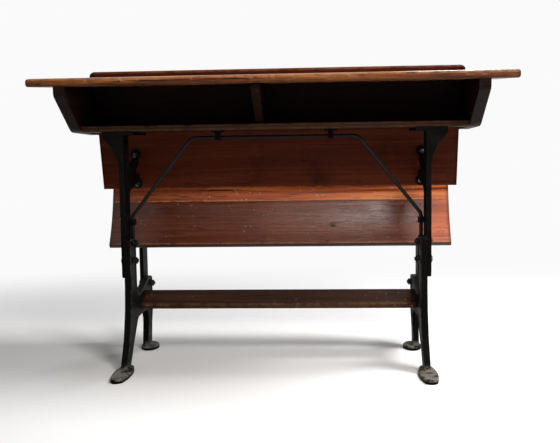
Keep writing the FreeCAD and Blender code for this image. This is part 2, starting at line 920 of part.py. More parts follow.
flange_front = size("stand_front") + size("flange_lead")
lug_bolt_x = slide_face + size("stand_thick") / 2
low_bolt = size("low_bolt_up")
high_bolt = size("high_bolt_up")
flange_rear = back_at(shelf_height, 0) - size("flange_gap")


def desk_standards():
    body = new_body("stand_blank")
    front, rear = -size("stand_front"), size("stand_rear")
    bottom = desk_clamp_low - size("stand_tail")
    foot_corners = [(front, bottom), (rear, bottom)]
    root = back_foot_z + size("arm_root_rise")
    roots = [(rear, root), (rear, root + size("arm_root_width"))]
    fork = (rear + size("arm_fork_lead"), back_foot_z + size("arm_fork_rise"))
    tips = [back_point(size(f"{arm}_arm_{end}"), 0) for arm in ("low", "high") for end in ("from", "to")]
    crown = [(rear, flange_bottom), (front, flange_bottom)]
    sketch = new_sketch(body, "YZ")
    draw(sketch, foot_corners + roots[:1] + tips[:2] + [fork] + tips[2:] + roots[1:] + crown)
    solid = pad(body, sketch, size("stand_thick"))
    solid = fillet(body, solid, size("stand_round"), at_corners(foot_corners))
    solid = fillet(body, solid, size("arm_round"), at_corners(roots))
    fillet(body, solid, size("fork_round"), at_corners([fork]))
    stand_flange(body)
    stand_gusset(body)
    stand_panel(body)
    place(body, slide_face, 0, 0)
    lugs = [back_bolt_round(RIGHT, up, "lug") for up in (low_bolt, high_bolt)]
    casting = fuse("stand_joined", [body] + lugs)
    tools = [tool for spot in desk_clamps for tool in slot(spot, size("desk_lift"), as_dim(0), stand_outer)]
    tools += [screw_hole(spot) for spot in flange_screw_spots(RIGHT)]
    tools += [back_bolt_round(RIGHT, up, "hole") for up in (low_bolt, high_bolt)]
    stud = size("eye_stud") / 2 + size("bolt_fit")
    start, end = slide_face - size("overrun"), stand_outer + size("overrun")
    tools += [across(RIGHT, start, end, rod_y, z, stud) for z in (eye_low, eye_high)]
    right = keep(cut("desk_standard_right", casting, tools))
    mirrored("desk_standard_left", right)


def stand_flange(body):
    """The flat flange on top of a desk standard, under the shelf."""
    sketch = new_sketch(body, "XY", flange_bottom)
    left, right = -size("flange_inner"), size("stand_thick") + size("flange_outer")
    front, rear = -flange_front, flange_rear
    draw(sketch, [(left, front), (right, front), (right, rear), (left, rear)])
    pad(body, sketch, size("flange_thick"))


def stand_gusset(body):
    """The flared gusset that carries the outer edge of the flange, with a hollow curve."""
    sketch = new_sketch(body, "XZ", size("stand_front"))
    near, far = size("stand_thick"), size("stand_thick") + size("flange_outer")
    lip = flange_bottom - size("gusset_lip")
    foot_level = flange_bottom - size("gusset_height")
    corners = [(as_dim(0), foot_level), (near, foot_level), (far, lip),
               (far, flange_bottom), (as_dim(0), flange_bottom)]
    draw(sketch, corners, {1: (size("gusset_sweep"), 1)})
    pad(body, sketch, size("gusset_thick"), reverse=True)


def stand_panel(body):
    """The sunk panel of the upright, inside its rims."""
    sketch = new_sketch(body, "YZ")
    rim = size("panel_rim")
    front, rear = rim - size("stand_front"), size("stand_rear") - rim
    low, high = eye_high + size("panel_rise"), flange_bottom - rim
    draw(sketch, [(front, low), (rear, low), (rear, high), (front, high)])
    pocket(body, sketch, size("panel_depth"), reverse=True)


def flange_screw_spots(side):
    """Where the screws of a flange start, under their heads: X, Y and Z."""
    x = (stand_outer + size("flange_outer") / 2) * side
    length = flange_front + flange_rear
    return [(x, length * share - flange_front, flange_bottom) for share in FLANGE_SCREW_SHARES]


def upright_screws(label, spots, shank_size, head_size):
    """Screws that go up into the shelf, with round heads under their seats."""
    members = []
    for x, y, seat in spots:
        reach = shelf_height - seat + size("screw_bite")
        shank = lathe("cylinder", (x, y, seat), None, 0, reach, size(shank_size) / 2)
        under = seat - size("screw_head_thick")
        head = lathe("cylinder", (x, y, under), None, 0, size("screw_head_thick"), size(head_size) / 2)
        members.append(fuse("Screw", [shank, head]))
    group(label, members)


# Bolts of the backrest

def back_bolt_round(side, up, part):
    """A piece of a back bolt, or the round lug that it goes through, along the back's thickness."""
    turn = size("back_lean_angle") - 90
    spans = {
        "lug": (-size("lug_thick"), as_dim(0), size("lug_width") / 2),
        "hole": (-size("lug_thick") - size("overrun"), size("overrun"),
                 size("back_bolt") / 2 + size("bolt_fit")),
        "shank": (-size("lug_thick") - size("back_nut") - size("back_bolt_tail"), size("back_thick"),
                  size("back_bolt") / 2),
        "head": (size("back_thick"), size("back_thick") + size("back_bolt_head_thick"),
                 size("back_bolt_head") / 2),
        "nut": (-size("lug_thick") - size("back_nut"), -size("lug_thick"), size("back_nut_flats") / 2),
        "nut_bore": (-size("lug_thick") - size("back_nut"), -size("lug_thick"),
                     size("back_bolt") / 2 + size("bolt_fit")),
    }
    near, far, radius = spans[part]
    y, z = back_point(up, near)
    kind = "hexagon" if part == "nut" else "cylinder"
    return lathe(kind, (lug_bolt_x * side, y, z), (1, 0, 0), turn, far - near, radius)


def back_bolts():
    bolts, nuts = [], []
    for side in (RIGHT, LEFT):
        for up in (low_bolt, high_bolt):
            bolts.append(fuse("BackBolt", [back_bolt_round(side, up, part) for part in ("shank", "head")]))
            nuts.append(cut("BackNut", back_bolt_round(side, up, "nut"),
                            [back_bolt_round(side, up, "nut_bore")]))
    group("back_bolts", bolts)
    group("back_nuts", nuts)


# Sway brace

rod_y = size("stand_rear") - size("rod_lead")
rod_x = slide_face - size("eye_thick") / 2
rod_corner = rod_x - size("rod_corner_inset")
rod_height = shelf_height - size("rod_drop")
eye_low = base_top - size("eye_drop")
eye_high = eye_low + size("eye_pitch")
rod_knee = eye_high + size("rod_knee_rise")
rod_bottom = eye_low - size("rod_tail")
saddle_place = rod_corner - size("saddle_inset")
knee_turn = arctan((rod_x - rod_corner) / (rod_height - rod_knee))


def brace_rod():
    """A round rod bent in one upright plane: two tails, two slants and a level run."""
    bend = size("rod_bend")
    lower = bend * tan(knee_turn / 2)
    upper = bend * tan((90 - knee_turn) / 2)
    knee, corner = rod_knee, rod_corner
    level = rod_height
    right = [
        (rod_x, rod_bottom),
        (rod_x, knee - lower),
        (rod_x - lower * sin(knee_turn), knee + lower * cos(knee_turn)),
        (corner + upper * sin(knee_turn), level - upper * cos(knee_turn)),
        (corner - upper, level),
    ]
    left = [(-x, z) for x, z in reversed(right)]
    body = new_body("brace_rod")
    path = new_sketch(body, "XZ")
    bends = {1: (bend, -1), 3: (bend, -1), 5: (bend, -1), 7: (bend, -1)}
    draw(path, right + left, bends, closed=False)
    section = new_sketch(body, "XY", rod_bottom)
    draw_circle(section, rod_x, 0, size("rod") / 2)
    doc.recompute()
    pipe = body.newObject("PartDesign::AdditivePipe", "Rod")
    pipe.Profile = section
    pipe.Spine = (path, [f"Edge{n}" for n in range(1, len(right + left))])
    place(body, 0, rod_y, 0)
    doc.recompute()
    keep(body)


def brace_eyes():
    """Blocks that the rod's tails pass through, each with a stud through its desk standard."""
    nuts = []
    for side, hand in ((RIGHT, "right"), (LEFT, "left")):
        for level, z in (("lower", eye_low), ("upper", eye_high)):
            block = doc.addObject("Part::Box", "EyeBlock")
            bind(block, "Length", size("eye_thick"))
            bind(block, "Width", size("eye_width"))
            bind(block, "Height", size("eye_height"))
            start = slide_face - size("eye_thick") if side == RIGHT else -slide_face
            place(block, start, rod_y - size("eye_width") / 2, z - size("eye_height") / 2)
            tip = stand_outer + size("eye_nut") + size("eye_tail")
            stud = across(side, slide_face, tip, rod_y, z, size("eye_stud") / 2)
            bore = lathe("cylinder", (rod_x * side, rod_y, z - size("eye_height")), None, 0,
                         size("eye_height") * 2, size("rod") / 2 + size("bolt_fit"))
            keep(cut(f"brace_eye_{hand}_{level}", fuse("Eye", [block, stud]), [bore]))
            end = stand_outer + size("eye_nut")
            nut = across(side, stand_outer, end, rod_y, z, size("eye_flats") / 2, "hexagon")
            hole = across(side, stand_outer, end, rod_y, z, size("eye_stud") / 2 + size("bolt_fit"))
            nuts.append(cut("EyeNut", nut, [hole]))
    group("brace_eye_nuts", nuts)


def saddle_screw_spots(side):
    seat = shelf_height - size("saddle_ear")
    reach = (size("saddle_lug") + size("saddle_reach")) / 2
    places = [saddle_place + reach * way for way in (RIGHT, LEFT)]
    return [(x * side, rod_y, seat) for x in places]


def brace_saddles():
    """Blocks under the shelf that hold up the level run of the rod."""
    body = new_body("saddle_blank")
    lug = size("saddle_lug") / 2
    ear = lug + size("saddle_reach")
    top = shelf_height
    seat = top - size("saddle_ear")
    low = rod_height - size("rod") / 2 - size("saddle_wall")
    sketch = new_sketch(body, "XZ")
    draw(sketch, [(-ear, seat), (-lug, seat), (-lug, low), (lug, low), (lug, seat), (ear, seat),
                  (ear, top), (-ear, top)])
    pad(body, sketch, size("saddle_depth"), symmetric=True)
    place(body, saddle_place, rod_y, 0)
    tools = [screw_hole(spot, "saddle_screw") for spot in saddle_screw_spots(RIGHT)]
    start, end = saddle_place - ear, saddle_place + ear
    radius = size("rod") / 2 + size("bolt_fit")
    tools.append(across(RIGHT, start, end, rod_y, rod_height, radius))
    right = keep(cut("brace_saddle_right", body, tools))
    mirrored("brace_saddle_left", right)
    spots = saddle_screw_spots(RIGHT) + saddle_screw_spots(LEFT)
    upright_screws("saddle_screws", spots, "saddle_screw", "saddle_screw_head")


# Footrest

def rest_screw_spots():
    middle = size("rest_thick") / 2
    inset = size("rest_screw_inset")
    return [rest_point(inset, middle), rest_point(size("rest_width") - inset, middle)]


def footrest():
    width, thick = size("rest_width"), size("rest_thick")
    corners = [rest_point(0, 0), rest_point(width, 0), rest_point(width, thick), rest_point(0, thick)]
    body, solid = board("rest_blank", corners, base_inner * 2)
    fillet(body, solid, size("rest_round"), at_corners(corners))
    hole = size("rest_screw") / 2 + size("bolt_fit")
    inner = base_inner - size("rest_screw_depth")
    tools, screws = [], []
    for side in (RIGHT, LEFT):
        for y, z in rest_screw_spots():
            tools.append(across(side, inner, base_outer, y, z, hole))
            shank = across(side, inner, base_outer, y, z, size("rest_screw") / 2)
            end = base_outer + size("rest_screw_head_thick")
            head = across(side, base_outer, end, y, z, size("rest_screw_head") / 2, "hexagon")
            screws.append(fuse("LagScrew", [shank, head]))
    keep(cut("footrest_board", body, tools))
    group("footrest_screws", screws)


# Seat standards and hinge

def seat_standards():
    body = new_body("prop_blank")
    front, rear = prop_front, prop_front + size("prop_width")
    neck = size("prop_neck")
    bottom = seat_clamp_low - size("prop_tail")
    shoulder = hinge_z - size("prop_neck_drop")
    y, z = hinge_y, hinge_z
    corners = [(front, bottom), (rear, bottom), (rear, shoulder),
               (y + neck, z), (y - neck, z), (front, shoulder)]
    sketch = new_sketch(body, "YZ")
    draw(sketch, corners)
    solid = pad(body, sketch, size("prop_thick"))
    fillet(body, solid, size("stand_round"), at_corners(corners[:2]))
    head = new_sketch(body, "YZ")
    draw_circle(head, y, z, size("prop_head"))
    pad(body, head, size("prop_thick"))
    place(body, slide_face, 0, 0)
    tools = [tool for spot in seat_clamps for tool in slot(spot, as_dim(0), size("seat_drop"), prop_outer)]
    start, end = slide_face - size("overrun"), prop_outer + size("overrun")
    tools.append(across(RIGHT, start, end, y, z, size("hinge_pin") / 2 + size("bolt_fit")))
    tools.append(across(RIGHT, start, end, *stop_spot, size("stop_pin") / 2 + size("bolt_fit")))
    right = keep(cut("seat_standard_right", body, tools))
    mirrored("seat_standard_left", right)


stop_spot = (hinge_y, hinge_z - size("stop_orbit"))
stop_half = size("stop_pin") / 2 + size("slip")
bracket_disc = size("stop_orbit") + stop_half + size("disc_rim")


def hinge_pieces():
    """Hinge pins with heads inside the brackets and nuts outside the standards, and the stop pins."""
    pins, nuts, stops = [], [], []
    y, z = hinge_y, hinge_z
    radius = size("hinge_pin") / 2
    under_head = base_inner - size("slip")
    nut_end = prop_outer + size("hinge_nut")
    for side in (RIGHT, LEFT):
        shank = across(side, under_head, nut_end, y, z, radius)
        head = across(side, under_head - size("hinge_head_thick"), under_head, y, z, size("hinge_head") / 2)
        pins.append(fuse("HingePin", [shank, head]))
        block = across(side, prop_outer, nut_end, y, z, size("hinge_flats") / 2, "hexagon")
        bore = across(side, prop_outer, nut_end, y, z, radius + size("bolt_fit"))
        nuts.append(cut("HingeNut", block, [bore]))
        stops.append(across(side, base_inner, prop_outer, *stop_spot, size("stop_pin") / 2))
    group("hinge_pins", pins)
    group("hinge_nuts", nuts)
    group("stop_pins", stops)


# Seat

def seat_boards():
    fold, dish, thick = size("seat_fold_angle"), size("seat_dish"), size("seat_thick")
    low = fold + size("seat_dish_angle")
    corners = [dish_point(low, 0), dish_point(fold, 0), dish_point(fold, thick), dish_point(low, thick)]
    bends = {0: (dish, -1), 2: (dish + thick, 1)}
    body, solid = board("seat_rear_blank", corners, seat_width, bends)
    fillet(body, solid, size("seat_round"), at_corners([corners[0], corners[3]]))
    tools = [tool for side in (RIGHT, LEFT) for tool in seat_screw_rounds(side, "rear", "hole")]
    keep(cut("seat_board_rear", body, tools))
    width = size("seat_front_width")
    corners = [flat_point(as_dim(0), 0), flat_point(width, 0), flat_point(width, thick),
               flat_point(as_dim(0), thick)]
    body, solid = board("seat_front_blank", corners, seat_width)
    fillet(body, solid, size("seat_round"), at_corners(corners[1:3]))
    tools = [tool for side in (RIGHT, LEFT) for tool in seat_screw_rounds(side, "front", "hole")]
    keep(cut("seat_board_front", body, tools))


def seat_brackets():
    """Arms behind the seat: a web from the boards to the hinge disc, a stop slot and screw wings."""
    body = new_body("bracket_blank")
    fold, thick = size("seat_fold_angle"), size("seat_thick")
    behind = size("seat_dish") + thick
    disc = bracket_disc
    corners = [dish_point(fold + size("bracket_tail_angle"), thick), dish_point(fold, thick),
               flat_point(size("bracket_reach"), thick), hinge_point(disc, size("disc_front_angle")),
               hinge_point(disc, (size("disc_front_angle") - size("disc_rear_angle")) / 2),
               hinge_point(disc, -size("disc_rear_angle"))]
    sketch = new_sketch(body, "YZ")
    draw(sketch, corners, {0: (behind, -1), 3: (disc, 1), 4: (disc, 1)})
    pad(body, sketch, size("base_thick"))
    bracket_wings(body, behind)
    bracket_slot(body)
    place(body, base_inner, 0, 0)
    pin = size("hinge_pin") / 2 + size("pin_fit")
    start, end = base_inner - size("overrun"), base_outer + size("overrun")
    tools = [across(RIGHT, start, end, hinge_y, hinge_z, pin)]
    tools += seat_screw_rounds(RIGHT, "rear", "hole") + seat_screw_rounds(RIGHT, "front", "hole")
    right = keep(cut("seat_bracket_right", body, tools))
    mirrored("seat_bracket_left", right)


def bracket_wings(body, behind):
    """Flat wings against the back of both seat boards, for their screws."""
    thick, wing = size("seat_thick"), size("wing_thick")
    low, high = size("wing_margin"), size("bracket_reach")
    sketch = new_sketch(body, "YZ")
    draw(sketch, [flat_point(low, thick), flat_point(high, thick), flat_point(high, thick + wing),
                  flat_point(low, thick + wing)])
    pad(body, sketch, size("base_thick"), other=size("wing_reach"))
    upper = size("seat_fold_angle") + size("wing_start_angle")
    lower = upper + size("wing_bend_angle")
    sketch = new_sketch(body, "YZ")
    draw(sketch, [dish_point(lower, thick), dish_point(upper, thick), dish_point(upper, thick + wing),
                  dish_point(lower, thick + wing)], {0: (behind, -1), 2: (behind + wing, 1)})
    pad(body, sketch, size("base_thick"), other=size("wing_reach"))


def bracket_slot(body):
    """The arc slot in which the stop pin travels as the seat swings."""
    orbit = size("stop_orbit")
    half = stop_half
    spare = degrees(half, orbit)
    first = -90 - spare
    last = size("seat_swing_angle") - 90 + spare
    middle = (first + last) / 2
    sketch = new_sketch(body, "YZ")
    outer, inner = orbit + half, orbit - half
    corners = [hinge_point(outer, first), hinge_point(outer, middle), hinge_point(outer, last),
               hinge_point(inner, last), hinge_point(inner, middle), hinge_point(inner, first)]
    draw(sketch, corners, {0: (outer, -1), 1: (outer, -1), 3: (inner, 1), 4: (inner, 1)})
    pocket(body, sketch, size("base_thick"), reverse=True)


def seat_screw_rounds(side, which, part):
    """Shanks, heads or holes of the screws through the wings into a seat board."""
    thick, wing = size("seat_thick"), size("wing_thick")
    bite, cap = thick - size("screw_bite"), size("screw_head_thick")
    x = (base_inner - size("wing_screw_inset")) * side
    if which == "rear":
        spots = [size("seat_fold_angle") + size("wing_start_angle") + size("wing_bend_angle") / 2]
    else:
        margin = size("wing_screw_margin")
        spots = [size("wing_margin") + margin, size("bracket_reach") - margin]
    rounds = []
    for spot in spots:
        angle = spot if which == "rear" else size("seat_fold_angle")
        point = dish_point if which == "rear" else flat_point
        start = thick + wing + {"hole": size("overrun"), "shank": as_dim(0), "head": cap}[part]
        end = {"hole": bite, "shank": bite, "head": thick + wing}[part]
        radius = {"hole": size("screw") / 2 + size("bolt_fit"), "shank": size("screw") / 2,
                  "head": size("screw_head") / 2}[part]
        y, z = point(spot, start)
        rounds.append(lathe("cylinder", (x, y, z), (1, 0, 0), 90 - angle, start - end, radius))
    return rounds


def seat_screws():
    members = []
    for side in (RIGHT, LEFT):
        for which in ("rear", "front"):
            shanks = seat_screw_rounds(side, which, "shank")
            heads = seat_screw_rounds(side, which, "head")
            members += [fuse("SeatScrew", [shank, head]) for shank, head in zip(shanks, heads)]
    group("seat_screws", members)


# The whole desk

def build():
    base_castings()
    footrest()
    clamp_set("desk", desk_clamps, stand_outer)
    clamp_set("seat", seat_clamps, prop_outer)
    desk_standards()
    shelf_board()
    box_walls()
    desk_top()
    back_boards()
    back_bolts()
    upright_screws("flange_screws", flange_screw_spots(RIGHT) + flange_screw_spots(LEFT),
                   "screw", "screw_head")
    side_screws()
    brace_rod()
    brace_eyes()
    brace_saddles()
    seat_standards()
    hinge_pieces()
    seat_boards()
    seat_brackets()
    seat_screws()


def export():
    os.makedirs("parts", exist_ok=True)
    doc.recompute()
    for item in doc.Objects:
        check(item)
    for node in nodes:
        if node.Shape.isNull() or not node.Shape.isValid():
            raise RuntimeError(f"{node.Label} has no valid shape")
    for node in nodes:
        node.Shape.exportStep(f"parts/{node.Label}.step")
        print(node.Label, len(node.Shape.Solids), round(node.Shape.Volume / 1000, 1))


build()
export()
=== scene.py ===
"""Looks of the double school desk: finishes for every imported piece, and finer pieces of wood and iron."""
import logging
import math
from dataclasses import dataclass
from enum import Enum
from functools import cached_property
from typing import Union

import bmesh
import bpy
import numpy as np
from mathutils import Matrix


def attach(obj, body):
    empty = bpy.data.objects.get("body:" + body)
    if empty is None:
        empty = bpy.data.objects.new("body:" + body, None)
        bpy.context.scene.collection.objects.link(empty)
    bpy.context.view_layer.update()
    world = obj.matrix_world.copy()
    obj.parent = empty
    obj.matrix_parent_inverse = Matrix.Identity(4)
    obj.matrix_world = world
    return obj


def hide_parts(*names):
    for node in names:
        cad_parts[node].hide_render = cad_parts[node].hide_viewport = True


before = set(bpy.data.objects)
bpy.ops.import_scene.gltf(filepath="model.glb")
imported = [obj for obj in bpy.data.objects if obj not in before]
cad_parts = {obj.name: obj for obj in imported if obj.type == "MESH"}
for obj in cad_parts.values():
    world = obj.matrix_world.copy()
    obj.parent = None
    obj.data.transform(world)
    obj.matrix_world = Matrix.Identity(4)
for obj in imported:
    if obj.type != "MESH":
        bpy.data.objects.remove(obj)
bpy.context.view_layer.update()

LOG = logging.getLogger("school_desk")

Colour = tuple[float, float, float]
Spot = tuple[float, float]
Material = bpy.types.Material
Piece = bpy.types.Object

WHITE: Colour = (1.0, 1.0, 1.0)
HANDS = ((1.0, "right"), (-1.0, "left"))

# The leaning back, in metres as all sizes are: the foot (Y, Z) and the lean of its near face
BACK_FOOT: Spot = (0.144, 0.469)
BACK_LEAN = math.radians(12.5)


# Shader nodes

class Sig:
    """A shader value, colour or vector: an output socket whose operators add Math nodes."""

    def __init__(self, web: "Web", socket: bpy.types.NodeSocket) -> None:
        """Keep the socket and the web of nodes that it belongs to."""
        self.web = web
        self.socket = socket

    def math(self, operation: str, *terms: "Value") -> "Sig":
        """Add one Math node of an operation on the given terms."""
        return self.web.node("ShaderNodeMath", {"operation": operation}, dict(enumerate(terms)))

    def __add__(self, other: "Value") -> "Sig":
        """Sum."""
        return self.math("ADD", self, other)

    def __sub__(self, other: "Value") -> "Sig":
        """Difference."""
        return self.math("SUBTRACT", self, other)

    def __mul__(self, other: "Value") -> "Sig":
        """Product."""
        return self.math("MULTIPLY", self, other)

    def __rsub__(self, other: "Value") -> "Sig":
        """Difference with the value on the right."""
        return self.math("SUBTRACT", other, self)

    __radd__ = __add__
    __rmul__ = __mul__

    def most(self, other: "Value") -> "Sig":
        """The larger of two values."""
        return self.math("MAXIMUM", self, other)

    def fold(self, size: float) -> "Sig":
        """The value folded back and forth between zero and a size."""
        return self.math("PINGPONG", self, size)

    def size(self) -> "Sig":
        """The value without its sign."""
        return self.math("ABSOLUTE", self)

    def root(self) -> "Sig":
        """The square root."""
        return self.math("SQRT", self)


Value = Union[Sig, float]
Paint = Union[Sig, Colour]


class Web:
    """A material, or the surround, and the nodes that make it."""

    def __init__(self, owner: Material | bpy.types.World) -> None:
        """Empty the node tree of a material or a surround."""
        self.owner = owner
        self.owner.use_nodes = True
        self.tree = self.owner.node_tree
        self.tree.nodes.clear()

    @cached_property
    def place(self) -> Sig:
        """The piece's Object coordinates."""
        return self.node("ShaderNodeTexCoord", out="Object")

    def node(self, kind: str, settings: dict | None = None, inputs: dict | None = None,
             out: int | str = 0) -> Sig:
        """Add a node of any type.

        Args:
            kind: The node's type.
            settings: Properties that are set first; "stops" sets a ramp's positions and colours.
            inputs: Values or links of its sockets, by name or number.
            out: The output socket that is returned, by name or number.

        Returns:
            The chosen output.
        """
        node = self.tree.nodes.new(kind)
        for key, setting in (settings or {}).items():
            if key == "stops":
                ramp = node.color_ramp
                while len(ramp.elements) < len(setting):
                    ramp.elements.new(1.0)
                for element, (position, colour) in zip(ramp.elements, setting):
                    element.position = position
                    element.color = (*colour, 1.0)
            else:
                setattr(node, key, setting)
        for key, value in (inputs or {}).items():
            socket = node.inputs[key]
            if isinstance(value, Sig):
                self.tree.links.new(value.socket, socket)
            elif socket.type == "RGBA":
                socket.default_value = (*value, 1.0)
            else:
                socket.default_value = value
        return Sig(self, node.outputs[out])

    def split(self) -> tuple[Sig, Sig, Sig]:
        """The three Object coordinates."""
        axes = [self.node("ShaderNodeSeparateXYZ", inputs={0: self.place}, out=axis) for axis in "XYZ"]
        return axes[0], axes[1], axes[2]

    def stretch(self, scale: tuple, turn: tuple = (0.0, 0.0, 0.0), shift: tuple = (0.0, 0.0, 0.0)) -> Sig:
        """Object coordinates moved, turned and then scaled along each axis.

        Args:
            scale: Scale along X, Y and Z.
            turn: Turn about X, Y and Z in degrees.
            shift: Shift that keeps two patterns apart.

        Returns:
            The new coordinates.
        """
        turned = self.node("ShaderNodeMapping", inputs={"Vector": self.place, "Location": shift,
                                                        "Rotation": tuple(math.radians(a) for a in turn)})
        return self.node("ShaderNodeMapping", inputs={"Vector": turned, "Scale": scale})

    def noise(self, scale: float, detail: float = 4.0, rough: float = 0.55, at: Sig | None = None) -> Sig:
        """A noise value between zero and one, about one half on average, on Object or other coordinates."""
        return self.node("ShaderNodeTexNoise", inputs={"Vector": at or self.place, "Scale": scale,
                                                       "Detail": detail, "Roughness": rough})

    def span(self, value: Value, low: float, high: float, first: float = 0.0, last: float = 1.0) -> Sig:
        """A smooth step: first below low, last above high."""
        return self.node("ShaderNodeMapRange", {"interpolation_type": "SMOOTHSTEP"},
                         {"Value": value, "From Min": low, "From Max": high, "To Min": first, "To Max": last})

    def blend(self, share: Value, first: Paint, second: Paint, mode: str = "MIX") -> Sig:
        """Two colours mixed by a share of the second."""
        return self.node("ShaderNodeMix", {"data_type": "RGBA", "blend_type": mode},
                         {0: share, 6: first, 7: second}, 2)

    def shade(self, colour: Paint, rough: Value, height: Sig, relief: float, gleam: float,
              metal: Value = 0.0, coat: Value = 0.0) -> Material:
        """Close the material with its surface shader.

        Args:
            colour: Base colour.
            rough: Roughness.
            height: Height of the bumps, about zero to one.
            relief: What a height of one is worth in metres.
            gleam: Specular level.
            metal: Metallic share.
            coat: Weight of the varnish coat.

        Returns:
            The finished material.
        """
        normal = self.node("ShaderNodeBump", inputs={"Height": height, "Distance": relief, "Strength": 1.0})
        surface = self.node("ShaderNodeBsdfPrincipled", inputs={
            "Base Color": colour, "Roughness": rough, "Normal": normal, "Metallic": metal,
            "Coat Weight": coat, "Coat Roughness": 0.22, "Specular IOR Level": gleam})
        return self.close(surface)

    def close(self, surface: Sig) -> Material | bpy.types.World:
        """Send a shader to the output.

        Args:
            surface: The shader.

        Returns:
            The material or surround.
        """
        kind = "World" if isinstance(self.owner, bpy.types.World) else "Material"
        output = self.tree.nodes.new(f"ShaderNodeOutput{kind}")
        self.tree.links.new(surface.socket, output.inputs["Surface"])
        return self.owner


# Finishes

class Fibre(Enum):
    """The way that the fibres of a board run."""

    LENGTHWISE = (1.0, 0.0, 0.0)
    FRONT_TO_BACK = (0.0, 1.0, 0.0)


class Lay(Enum):
    """How a board stands: the scratches of a face run in its plane.

    Each value holds the scales of a field of lines and the axis that the lines are turned about.
    """

    UPRIGHT = ((9.0, 9.0, 560.0), (0.0, 1.0, 0.0))
    LEVEL = ((9.0, 560.0, 9.0), (0.0, 0.0, 1.0))


class Scuff(Enum):
    """How much a varnished board has been scratched."""

    NONE = 0.0
    LIGHT = 0.45
    HEAVY = 1.0


class Figure(Enum):
    """Noise that follows the fibres: scales along and across them, levels of detail and their strength."""

    RINGS = (0.5, 13.0, 2.0, 0.4)
    STREAKS = (0.6, 46.0, 5.0, 0.62)
    GRAIN = (6.0, 240.0, 4.0, 0.62)
    FIBRES = (7.0, 520.0, 3.0, 0.6)
    PORES = (26.0, 1100.0, 2.0, 0.5)
    CRACKS = (5.0, 330.0, 2.0, 0.5)
    GASHES = (13.0, 160.0, 3.0, 0.55)
    CLOUDS = (2.0, 6.0, 3.0, 0.6)
    KNOT_RIM = (30.0, 260.0, 3.0, 0.6)


